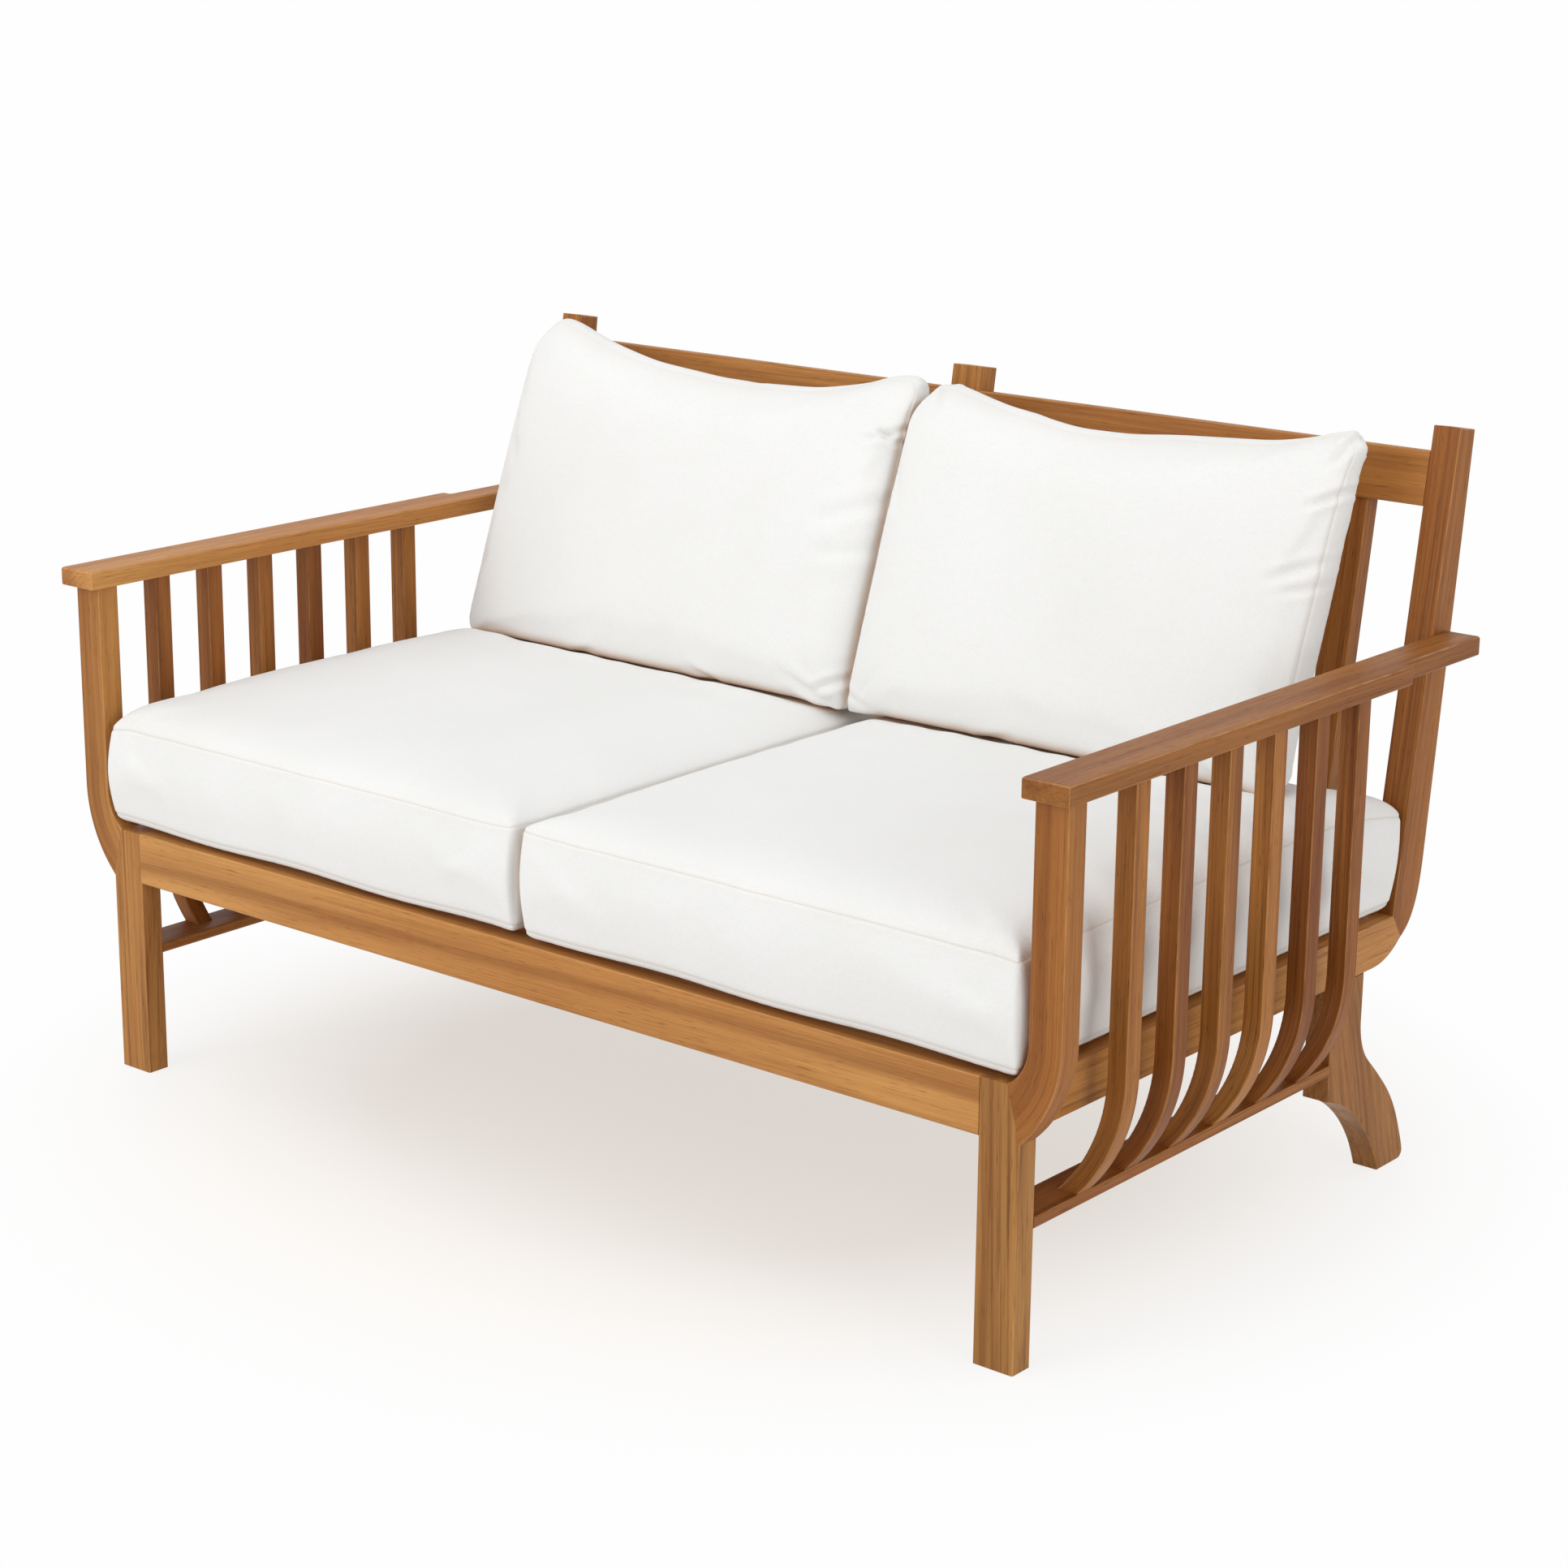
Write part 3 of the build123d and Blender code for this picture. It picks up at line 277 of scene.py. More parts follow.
def lay_straight(tree, place, normal, middle, turn, knob):
    """Runs the grain straight along the board, turned to lie the way the board lies."""
    laid = tree.nodes.new("ShaderNodeMapping")
    plug(tree, place, laid.inputs["Vector"])
    laid.inputs["Rotation"].default_value = turn
    laid.inputs["Location"].default_value = -(turn.to_matrix() @ middle)
    plug(tree, laid.outputs[0], knob.inputs["Place"])
    facing = tree.nodes.new("ShaderNodeMapping")
    facing.vector_type = "NORMAL"
    plug(tree, normal, facing.inputs["Vector"])
    facing.inputs["Rotation"].default_value = turn
    sides = split_up(tree, steer(tree, "ABSOLUTE", facing.outputs[0]))
    squarest = reckon(tree, "MAXIMUM", sides[0], reckon(tree, "MAXIMUM", sides[1], sides[2]))
    plug(tree, span(tree, squarest, *edge_facing), knob.inputs["Edge"])


def oiled_teak(
    name, grain, pith, number, tone=0.0, tip=(0, 0, 0), bend=None, lines=0.7, warmth=0.65, band=0.0
):
    """Dresses a board: grain is the side it runs along, pith how far off the heart of the log lies."""
    low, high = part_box(name)
    middle = (low + high) / 2
    teak, tree, shader, place = fresh_finish("oiled teak of " + name)
    normal = tree.nodes.new("ShaderNodeNewGeometry").outputs["Normal"]
    knob = tree.nodes.new("ShaderNodeGroup")
    knob.node_tree = figure
    if bend:
        lay_along_bend(tree, place, normal, middle, bend, knob)
    else:
        turn = Euler([first + second for first, second in zip(grain_turns[grain], tip)])
        lay_straight(tree, place, normal, middle, turn, knob)
    knob.inputs["Pith"].default_value = (pith[0], pith[1], 0.0)
    knob.inputs["Board"].default_value = float(number)
    knob.inputs["Tone"].default_value = tone
    knob.inputs["Warmth"].default_value = warmth
    knob.inputs["Lines"].default_value = lines
    knob.inputs["Band"].default_value = band
    plug(tree, knob.outputs["Colour"], shader.inputs["Base Color"])
    plug(tree, knob.outputs["Gloss"], shader.inputs["Roughness"])
    shader.inputs["Specular IOR Level"].default_value = 0.2
    roughen(tree, shader, knob.outputs["Relief"], strength=0.35, depth=0.0004)
    dress(name, teak)


oiled_teak(
    "front_leg_left", "z", (0.045, -0.012), 11, tone=-0.12, tip=(0.01, 0.02, 0), lines=1.0, warmth=0.2
)
oiled_teak(
    "front_leg_right", "z", (-0.052, 0.020), 12, tone=-0.26, tip=(-0.01, 0.015, 0), lines=1.1, warmth=0.1
)

# Rear legs: two legs sawn from wide boards of teak, straight at the top, then swept backwards, and
# set under the side rails on dowels. The grain runs down the leg and comes out at the curved edges.
rear_leg_sweep = -0.25
rear_legs = (("left", 0.060, 13, -0.28, 0.02), ("right", -0.060, 14, -0.3, -0.02))
for side, heart, number, tone, spin in rear_legs:
    tip = (rear_leg_sweep, spin, 0)
    oiled_teak("rear_leg_" + side, "z", (heart, 0.050), number, tone=tone, tip=tip, lines=0.9, warmth=0.2)

# Stretchers: two thin laths of teak, laid flat from the front leg to the rear leg on each side and
# doweled at both ends. They hold the feet of the bent arm slats.
oiled_teak("stretcher_left", "y", (0.03, 0.06), 15, tone=-0.28)
oiled_teak("stretcher_right", "y", (0.02, 0.05), 16, tone=-0.3)

# Front rail: one long flat-sawn board of teak between the front legs, level with their tops and
# doweled at both ends. It is golden, with a broad darker band along its face.
oiled_teak("front_rail", "x", (0.022, 0.070), 17, tone=0.05, tip=(0, 0.012, 0.02), lines=0.35, band=0.5)

# Side rails: boards of teak doweled to the backs of the front legs, that run over the rear legs and
# curl up to meet the back posts. They carry the seat.
oiled_teak("side_rail_left", "y", (0.05, 0.02), 18, tone=-0.18, tip=(0.01, 0, 0))
oiled_teak("side_rail_right", "y", (0.05, 0.02), 19, tone=0.02, tip=(0.01, 0, 0))

# Rear seat rail, centre bearer and cleats: the teak boards that close the seat frame at the back and
# hold up the middle and the ends of the seat slats. The rail and the bearer are doweled in, and the
# cleats are screwed to the side rails.
oiled_teak("rear_seat_rail", "x", (0.04, 0.05), 20, tone=-0.05)
oiled_teak("centre_bearer", "y", (0.03, 0.05), 21, tone=-0.05)
oiled_teak("cleat_left", "y", (0.03, 0.03), 22, tone=-0.06)
oiled_teak("cleat_right", "y", (0.03, 0.03), 23, tone=-0.06)

# Seat slats: seven flat boards of teak from side to side under the seat cushions.
# They are screwed down to the cleats and to the centre bearer.
for index in range(1, 8):
    heart = (0.030 + 0.007 * index, 0.02 - 0.006 * index)
    oiled_teak("seat_slat_" + str(index), "x", heart, 23 + index, tone=0.03 * math.sin(index * 2.3))

# Arm posts: thick strips of teak bent outwards above the front legs and joined to them on a long
# slant, with the armrests on top. Their grain follows the bend, here by its radius and centre.
arm_post_bend = (0.1336, 0.5614, 0.340)
for side, number in (("left", 31), ("right", 32)):
    name = "arm_post_" + side
    oiled_teak(name, "z", (0.05, 0.02), number, tone=-0.21, bend=arm_post_bend, lines=0.5, warmth=0.5)

# Arm slats: six bent strips of teak a side, each a little different in tone. They rise from the
# stretcher, curve out and run up to the armrest, with a dowel at both ends.
arm_slat_bend = (0.191, 0.5083, 0.285)
for index in range(1, 7):
    for side, number in (("left", 40), ("right", 50)):
        name = "arm_slat_%d_%s" % (index, side)
        tone = 0.06 * math.sin(index * 2.1 + number) - 0.4
        heart = (0.045, 0.012 * math.sin(index * 1.7 + number))
        oiled_teak(name, "z", heart, number + index, tone=tone, bend=arm_slat_bend)

# Armrests: two flat boards of teak on top of the posts and slats, stepped in at the back to pass
# the back posts and doweled to their outer faces.
oiled_teak("armrest_left", "y", (0.035, 0.06), 61, tip=(0.008, 0.01, 0), lines=0.5, warmth=0.5)
oiled_teak(
    "armrest_right", "y", (0.025, 0.065), 62, tone=-0.44, tip=(0.008, -0.01, 0), lines=0.45, warmth=0.45
)

# Back posts and centre post: raked posts of teak with the rails doweled between them. The outer two
# swell towards the seat, end in a heel on the side rails and have the armrests doweled to them.
# The centre post stands on the lower rail, between the top rails.
lean = math.radians(9.03)
oiled_teak("back_post_left", "z", (0.05, 0.03), 63, tone=-0.32, tip=(lean, 0, 0))
oiled_teak("back_post_right", "z", (0.05, 0.03), 64, tone=-0.38, tip=(lean, 0, 0))
oiled_teak("centre_post", "z", (0.03, 0.05), 65, tone=-0.28, tip=(lean, 0, 0))

# Top and lower rails: teak boards of the back, doweled between the posts. The top rail comes in two
# lengths, left and right of the centre post, and the lower one runs through behind the seats.
oiled_teak("top_rail_left", "x", (0.04, 0.06), 66, tone=-0.12)
oiled_teak("top_rail_right", "x", (0.04, 0.06), 67, tone=-0.05)
oiled_teak("lower_back_rail", "x", (0.05, 0.05), 68, tone=-0.2)

# Back slats: five flat strips of teak in each half of the back, each a little different in tone.
# They are set a little behind the face of the rails, with a dowel at both ends.
for index in range(1, 6):
    for side, number in (("left", 70), ("right", 80)):
        name = "back_slat_%d_%s" % (index, side)
        heart = (0.04 * math.cos(index + number), 0.045)
        tone = 0.08 * math.sin(index * 1.9 + number) - 0.34
        oiled_teak(name, "z", heart, number + index, tone=tone, tip=(lean, 0, 0))

# Dowels: turned pegs of the same wood in two sizes, glued into the joints of the frame.
# They lie wholly inside the boards.
oiled_teak("dowels", "x", (0.02, 0.02), 91, tone=-0.04)
oiled_teak("small_dowels", "z", (0.02, 0.02), 92, tone=-0.04)


# Seat screws: countersunk screws of zinc-plated steel, turned fine and a little dull. They hold the
# seat slats down, and the cleats to the side rails.
def plated_steel(name):
    steel, tree, shader, place = fresh_finish("zinc plated steel")
    brushed = mottle(tree, place, (900, 900, 4000), 2)
    dull = mottle(tree, place, (260, 260, 260), 3)
    plug(tree, blend(tree, dull, tint(196, 198, 200), tint(168, 168, 166)), shader.inputs["Base Color"])
    plug(tree, span(tree, dull, 0.3, 0.7, 0.24, 0.42), shader.inputs["Roughness"])
    shader.inputs["Metallic"].default_value = 1.0
    roughen(tree, shader, brushed, strength=0.25, depth=0.0001)
    dress(name, steel)


plated_steel("seat_screws")

# Seat cushions: two boxed pads of foam in off-white woven covers, with a seam round the top
# and one round the bottom. They lie loose on the rails and the slats, close together in the middle.
# Forms are drawn in millimetres, with depths counted from the front of the front legs.
frame_middle = 394.05
back_face_depth = 640.9
back_face_rake = 0.1589
back_clearance = 0.6
cover_slack = 0.0015

seat_front = 4.0
seat_length = 690.0
seat_foot_z = 293.8
seat_inner_corner = 12.0
seat_outer_corner = 9.0
seat_inner_inset = 0.8
seat_outer_inset = 2.0
seat_rear_gap = 4
# the top seam climbs gently from the front, then falls towards the rear
seat_seam_z = 419
seat_seam_climb = 5
seat_seam_turn = 0.78
seat_seam_fall = 24
seat_hem_rise = 11
seat_under_round = 14
hem_wave = 1.6
hem_wave_pitch = 47
# the top panel swells over the seam, higher along the outer side
shoulder_rise = 14
outer_shoulder_rise = 9
shoulder_reach = 17
outer_shoulder_reach = 5
seat_crown = 20
seat_crown_end = 0.81
crown_squareness = 3.2
outer_squareness = 3
corner_droop_left = 7
corner_droop_right = 4
corner_droop_reach = 27
# how far each side of the border puffs out between its seams
seat_inner_puff = 0.5
seat_outer_puff = 3.0
seat_front_puff = 7
seat_rear_puff = 3


def cloth_lines(count, hug):
    """Lines from -1 to 1 that lie closer together towards both ends."""
    even = np.linspace(-1, 1, count + 1)
    return np.sin(even * hug) / math.sin(hug)


def sewn_box(across, along, deep):
    """A closed box of quads. Every point is given by its lines across, along and through the pad."""
    spots = {}

    def spot(i, j, k):
        return spots.setdefault((i, j, k), len(spots))

    faces = []
    right, far, high = len(across) - 1, len(along) - 1, len(deep) - 1
    for i in range(right):
        i2 = i + 1
        for j in range(far):
            j2 = j + 1
            faces.append((spot(i, j, high), spot(i2, j, high), spot(i2, j2, high), spot(i, j2, high)))
            faces.append((spot(i, j, 0), spot(i, j2, 0), spot(i2, j2, 0), spot(i2, j, 0)))
        for k in range(high):
            k2 = k + 1
            faces.append((spot(i, 0, k), spot(i2, 0, k), spot(i2, 0, k2), spot(i, 0, k2)))
            faces.append((spot(i, far, k), spot(i, far, k2), spot(i2, far, k2), spot(i2, far, k)))
    for j in range(far):
        j2 = j + 1
        for k in range(high):
            k2 = k + 1
            faces.append((spot(right, j, k), spot(right, j2, k), spot(right, j2, k2), spot(right, j, k2)))
            faces.append((spot(0, j, k), spot(0, j, k2), spot(0, j2, k2), spot(0, j2, k)))
    order = np.array(sorted(spots, key=spots.get))
    return across[order[:, 0]], along[order[:, 1]], deep[order[:, 2]], faces


def round_corners(u, v, half_u, half_v, radius):
    x = np.clip((np.abs(u) - half_u + radius) / radius, 0, 1)
    y = np.clip((np.abs(v) - half_v + radius) / radius, 0, 1)
    new_u = np.where(x > 0, half_u - radius + radius * x * np.sqrt(1 - y * y / 2), np.abs(u))
    new_v = np.where(y > 0, half_v - radius + radius * y * np.sqrt(1 - x * x / 2), np.abs(v))
    return np.sign(u) * new_u, np.sign(v) * new_v


def from_edge(u, v, half_u, half_v):
    near_u = np.maximum(half_u - np.abs(u), 0.01)
    near_v = np.maximum(half_v - np.abs(v), 0.01)
    return (near_u ** -4 + near_v ** -4) ** -0.25


def back_depth(z):
    return back_face_depth + back_face_rake * z - back_clearance


def to_metres(x, depth, z):
    return np.stack([x, depth - frame_middle, z], 1) * 0.001


def seat_form(across, along, deep, left_x, right_x, inner):
    """The pad before it is filled; inner is 1 where its inner side is the right one, or else -1."""
    half = (right_x - left_x) / 2
    corner = np.where(across * inner > 0, seat_inner_corner, seat_outer_corner)
    u, v = round_corners(across * half, along * seat_length / 2, half, seat_length / 2, corner)
    gap = from_edge(u, v, half, seat_length / 2)
    run = v / seat_length + 0.5
    climb = np.clip(run / seat_seam_turn, 0, 1)
    fall = np.clip((run - seat_seam_turn) / (1 - seat_seam_turn), 0, 1) ** 1.5
    seam_z = seat_seam_z + seat_seam_climb * climb - seat_seam_fall * fall
    hem_z = seat_foot_z + seat_hem_rise
    outer = np.clip(-across * inner, 0, 1) ** 2
    shoulder = 1 - np.exp(-gap / (shoulder_reach - outer_shoulder_reach * outer))
    shoulder = (shoulder_rise + outer_shoulder_rise * outer) * shoulder
    over_crown = np.clip(run / seat_crown_end, 0, 1)
    crown = 4 * over_crown * (1 - over_crown)
    crown = seat_crown * crown * (1 - np.abs(across) ** (crown_squareness + outer_squareness * outer))
    top_z = seam_z + shoulder + crown
    under_z = seat_foot_z + seat_hem_rise * (1 - np.clip(gap / seat_under_round, 0, 1)) ** 2
    border = (np.abs(across) == 1) | (np.abs(along) == 1)
    z = np.where(border, hem_z + (seam_z - hem_z) * deep, np.where(deep > 0.5, top_z, under_z))
    wave = hem_wave * (1 + np.sin(u / hem_wave_pitch + 2 * inner))
    z = z + (1 - deep) * wave * np.clip(-along, 0, 1) ** 6
    to_corner = np.hypot((1 + across * inner) * half, (1 + along) * seat_length / 2)
    droop = corner_droop_left if inner > 0 else corner_droop_right
    z = z - droop * np.exp(-(to_corner / corner_droop_reach) ** 2) * deep
    puff = np.where(border, np.sin(np.pi * deep), 0)
    insets = (seat_outer_inset, seat_inner_inset)
    left_inset, right_inset = insets if inner > 0 else insets[::-1]
    x = left_x + left_inset + (u / half / 2 + 0.5) * (right_x - left_x - left_inset - right_inset)
    side_puff = np.sign(across) * puff * np.where(across * inner > 0, seat_inner_puff, seat_outer_puff)
    x = x + np.where(np.abs(across) == 1, side_puff, 0)
    rear = back_depth(z) - seat_rear_gap
    end_puff = np.sign(along) * puff * np.where(along < 0, seat_front_puff, seat_rear_puff)
    depth = seat_front + run * (rear - seat_front) + np.where(np.abs(along) == 1, end_puff, 0)
    return to_metres(x, depth, z)


def points_of(mesh):
    flat = np.zeros(len(mesh.vertices) * 3)
    mesh.vertices.foreach_get("co", flat)
    return flat.reshape(-1, 3)


def outward(mesh):
    flat = np.zeros(len(mesh.vertices) * 3)
    mesh.vertices.foreach_get("normal", flat)
    return flat.reshape(-1, 3)


def move_to(mesh, points):
    mesh.vertices.foreach_set("co", points.ravel())
    mesh.update()


def mark(mesh, label, values):
    mesh.attributes.new(label, "FLOAT", "POINT").data.foreach_set("value", values.astype(np.float32))


def mark_of(mesh, label):
    values = np.zeros(len(mesh.vertices))
    mesh.attributes[label].data.foreach_get("value", values)
    return values


def slack_cover(name, points, faces, marks):
    """The cover before it is filled, a little smaller than its pad."""
    mesh = bpy.data.meshes.new(name)
    mesh.from_pydata(points.tolist(), [], faces)
    mesh.update()
    for label, values in marks.items():
        mark(mesh, label, values)
    piece = bpy.data.objects.new(name, mesh)
    bpy.context.scene.collection.objects.link(piece)
    move_to(mesh, points - outward(mesh) * cover_slack)
    return piece


def fill_with_foam(pieces, pressure, limit):
    """Blows the covers up as cloth, and keeps every point within the limit of where it began."""
    frames = 20
    starts = [points_of(piece.data) for piece in pieces]
    for piece in pieces:
        cloth = piece.modifiers.new("filling", "CLOTH")
        cover = cloth.settings
        cover.quality = 5
        cover.mass = 0.3
        cover.tension_stiffness = 14
        cover.compression_stiffness = 14
        cover.shear_stiffness = 5
        cover.bending_stiffness = 1.2
        cover.use_pressure = True
        cover.uniform_pressure_force = pressure
        cover.effector_weights.gravity = 0
        cover.shrink_min = -0.006
        cloth.collision_settings.use_collision = False
        cloth.point_cache.frame_start = 1
        cloth.point_cache.frame_end = frames
    for step in range(1, frames + 1):
        bpy.context.scene.frame_set(step)
    settled = bpy.context.evaluated_depsgraph_get()
    results = [points_of(piece.evaluated_get(settled).data) for piece in pieces]
    for piece, start, result in zip(pieces, starts, results):
        piece.modifiers.clear()
        move = result - start
        size = np.linalg.norm(move, axis=1, keepdims=True) + 1e-9
        move_to(piece.data, start + move / size * limit * np.tanh(size / limit))
    bpy.context.scene.frame_set(1)


def stop_at(values, limit, ease):
    """Presses values flat against a limit from below, easing into it."""
    return limit - ease * np.logaddexp(0, (limit - values) / ease)


def stretch_to(values, low, high):
    return low + (values - values.min()) * (high - low) / (values.max() - values.min())


def stop_at_back(points):
    """Keeps the rear of a pad in front of the slatted back."""
    rear = (back_depth(points[:, 2] * 1000) - frame_middle) / 1000
    points[:, 1] = np.minimum(points[:, 1], rear)


def finer(piece):
    split = piece.modifiers.new("finer", "SUBSURF")
    split.levels = 1
    split.render_levels = 1
    settled = bpy.context.evaluated_depsgraph_get()
    mesh = bpy.data.meshes.new_from_object(piece.evaluated_get(settled))
    piece.modifiers.clear()
    mesh.name = piece.name
    piece.data = mesh
    mesh.shade_smooth()


def waves(along, seed, shortest, longest, count):
    chance = np.random.default_rng(seed)
    total = np.zeros_like(along)
    for pitch in np.geomspace(shortest, longest, count):
        total += np.sin(along / pitch * 2 * np.pi + chance.uniform(0, 2 * np.pi)) * chance.uniform(0.4, 1)
    return total / count


# the stitched groove and the small puckers beside it, in metres; where a seam gets faint, its painted
# shade is laid as if the seam were farther off
groove_depth = 0.0015
groove_half = 0.0022
pucker_height = 0.0007
pucker_pitches = (0.009, 0.034)
pucker_start = 0.004
pucker_reach = 0.014
faint_shift = 0.001


def sew(piece, half_u, half_v, height, seed, faint):
    """Draws in both seams of a pad; faint is how much of them is lost along the far edge."""
    mesh = piece.data
    points, away = points_of(mesh), outward(mesh)
    across, along, deep = mark_of(mesh, "across"), mark_of(mesh, "along"), mark_of(mesh, "deep")
    from_side = (1 - np.abs(across)) * half_u
    from_end = (1 - np.abs(along)) * half_v
    in_panel = np.minimum(from_side, from_end)
    run = np.where(from_side < from_end, along * half_v, across * half_u)
    fade = 1 - faint * np.clip((along - 0.9) / 0.08, 0, 1)
    mark(mesh, "from_seam", in_panel + np.minimum(deep, 1 - deep) * height + (1 - fade) * faint_shift)
    shift = np.zeros(len(across))
    for level, turn in ((1 - deep, 0), (deep, 50)):
        far = in_panel + level * height
        shift -= groove_depth * np.exp(-(far / groove_half) ** 2)
        folds = waves(run, seed + turn, *pucker_pitches, count=9)
        clear = 1 - np.exp(-(far / pucker_start) ** 2)
        shift += pucker_height * folds * np.exp(-far / pucker_reach) * clear
    move_to(mesh, points + away * (shift * fade)[:, None])


yarn_pitch = 0.0011
cover_light = tint(244, 244, 243)
cover_plain = tint(240, 240, 238)
cover_slub = tint(228, 227, 224)
cover_between_yarns = tint(216, 214, 210)
# painted shade: the warm tint laid beside the seams
cover_warm_shade_by_seam = tint(222, 205, 184)
# painted shade: the darker line in a seam groove
cover_seam_groove_shade = tint(196, 185, 168)
# painted shade: the warm brown laid on the cover in crevices and where it touches other parts
cover_crevice_shade = tint(214, 172, 132)
crevice_shade_reach = 0.02


def woven_cover():
    cover, tree, shader, place = fresh_finish("off-white woven cover")
    normal = tree.nodes.new("ShaderNodeNewGeometry").outputs["Normal"]
    parts = split_up(tree, place)
    faces = split_up(tree, steer(tree, "ABSOLUTE", normal))
    yarns = 0.0
    for way in range(3):
        uneven = reckon(tree, "MULTIPLY", mottle(tree, place, (90, 90, 90), 1), 2.0)
        turn = reckon(tree, "MULTIPLY_ADD", parts[way], 2 * math.pi / yarn_pitch, uneven)
        seen = reckon(tree, "SUBTRACT", 1.0, reckon(tree, "POWER", faces[way], 2.0))
        yarns = reckon(tree, "ADD", yarns, reckon(tree, "MULTIPLY", reckon(tree, "SINE", turn), seen))
    slubs = mottle(tree, place, (420, 420, 420), 3, 0.65)
    soft = mottle(tree, place, (5, 5, 5), 2)
    stitched = tree.nodes.new("ShaderNodeAttribute")
    stitched.attribute_name = "from_seam"
    seam = stitched.outputs["Fac"]
    # painted shade: the cover turns warm brown where an ambient occlusion probe, two centimetres out,
    # finds a crevice or a touching part
    crevice_shade = tree.nodes.new("ShaderNodeAmbientOcclusion")
    crevice_shade.samples = 4
    crevice_shade.inputs["Distance"].default_value = crevice_shade_reach
    colour = blend(tree, span(tree, soft, 0.3, 0.7), cover_plain, cover_light)
    colour = blend(tree, span(tree, slubs, 0.45, 0.8, 0.0, 0.35), colour, cover_slub)
    colour = blend(tree, span(tree, yarns, 0.2, -1.6, 0.0, 0.22), colour, cover_between_yarns)
    # painted shade: a faint warm tint over the cloth within about a centimetre of each seam
    colour = blend(tree, span(tree, seam, 0.0, 0.012, 0.10, 0.0), colour, cover_warm_shade_by_seam)
    # painted shade: a thin darker line along each seam groove, as the shadow of the thread
    colour = blend(tree, span(tree, seam, 0.0003, 0.0014, 0.30, 0.0), colour, cover_seam_groove_shade)
    colour = blend(tree, span(tree, crevice_shade.outputs["AO"], 0.0, 0.55, 0.8, 0.0), colour, cover_crevice_shade)
    plug(tree, colour, shader.inputs["Base Color"])
    plug(tree, span(tree, slubs, 0.3, 0.7, 0.82, 0.95), shader.inputs["Roughness"])
    shader.inputs["Specular IOR Level"].default_value = 0.2
    shader.inputs["Sheen Weight"].default_value = 0.12
    shader.inputs["Sheen Roughness"].default_value = 0.5
    weave = reckon(tree, "ADD", yarns, reckon(tree, "MULTIPLY", slubs, 1.5))
    roughen(tree, shader, weave, strength=0.4, depth=0.0002)
    return cover


cover_cloth = woven_cover()
across, along, deep, seat_faces = sewn_box(
    cloth_lines(88, 1.15), cloth_lines(96, 1.15), (cloth_lines(18, 1.1) + 1) / 2
)
seat_marks = {"across": across, "along": along, "deep": deep}
# both sides, 1 where the inner side is the right one or else -1, and the seed of the puckers
seat_pads = {
    "seat_cushion_left": {"left_x": -653.5, "right_x": 2.85, "inner": 1, "seed": 5},
    "seat_cushion_right": {"left_x": 3.15, "right_x": 653.5, "inner": -1, "seed": 9},
}
# how hard the foam presses; then in metres, how far it may move the cover, where the filled seats
# end, and where the back cushions press them flat
foam_pressure = 2.5
seat_foam_limit = 0.0035
seat_z = (0.2938, 0.4560)
seat_y = (-0.4060, 0.3098)
pressed_y = 0.140
pressed_z = 0.4379
pressed_run = 0.012
pressed_ease = 0.0015
swell_y = 0.128
swell_half = 0.018
swell_height = 0.0035
ripple_height = 0.0045
ripple_pitches = (0.05, 0.21)
ripple_seed = 31
seat_panel_halves = (0.323, 0.345)
seat_seams_apart = 0.113
seats = []
for name, pad in seat_pads.items():
    points = seat_form(across, along, deep, pad["left_x"], pad["right_x"], pad["inner"])
    seats.append(slack_cover(name + "_cover", points, seat_faces, seat_marks))
fill_with_foam(seats, foam_pressure, seat_foam_limit)
for seat, (name, pad) in zip(seats, seat_pads.items()):
    points = points_of(seat.data)
    points[:, 0] = stretch_to(points[:, 0], pad["left_x"] / 1000, pad["right_x"] / 1000)
    points[:, 2] = stretch_to(points[:, 2], *seat_z)
    points[:, 1] = stretch_to(points[:, 1], *seat_y)
    stop_at_back(points)
    # the cloth swells and ripples just in front of the back cushion, and lies flat under it
    inside = 1 - np.abs(mark_of(seat.data, "across")) ** 8
    swell = np.exp(-((points[:, 1] - swell_y) / swell_half) ** 2) * inside
    folds = waves(points[:, 0], ripple_seed, *ripple_pitches, count=5)
    ripple = swell_height + ripple_height * folds
    points[:, 2] += ripple * swell * mark_of(seat.data, "deep")
    under = np.clip((points[:, 1] - pressed_y) / pressed_run, 0, 1)
    flat = np.minimum(stop_at(points[:, 2], pressed_z, pressed_ease), points[:, 2])
    points[:, 2] = points[:, 2] * (1 - under) + flat * under
    move_to(seat.data, points)
    finer(seat)
    sew(seat, *seat_panel_halves, seat_seams_apart, pad["seed"], faint=0.0)
    seat.data.materials.append(cover_cloth)
    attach(seat, "root")
    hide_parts(name)

# Back cushions: two soft pillows in the same cover with a narrow border between two seams.
# They stand on the seat cushions and lean back on the slats; their top corners stand up as ears.
back_foot_z = 438.3
back_top_z = 786.0
# the middle of a pillow lies this deep at its foot, and farther back the higher it is
back_middle_depth = 568
back_middle_slope = 0.3295
back_middle_foot_z = 438
back_inner_foot_corner = 10.0
back_outer_foot_corner = 22.0
back_top_corners = (30.0, 20.0)
ear_sink = 5
back_lip = 20
back_top_lip = 5
back_border_rear = 20
back_front_swell = 33
back_front_taper = 0.14
back_rear_swell = 98
back_rear_gap = 1
back_border_puff = 4
back_inner_puff_share = 0.1
back_inner_squareness = 16.0
back_outer_squareness = 3.2
back_foot_squareness = 6.0
back_top_squareness = 2.4


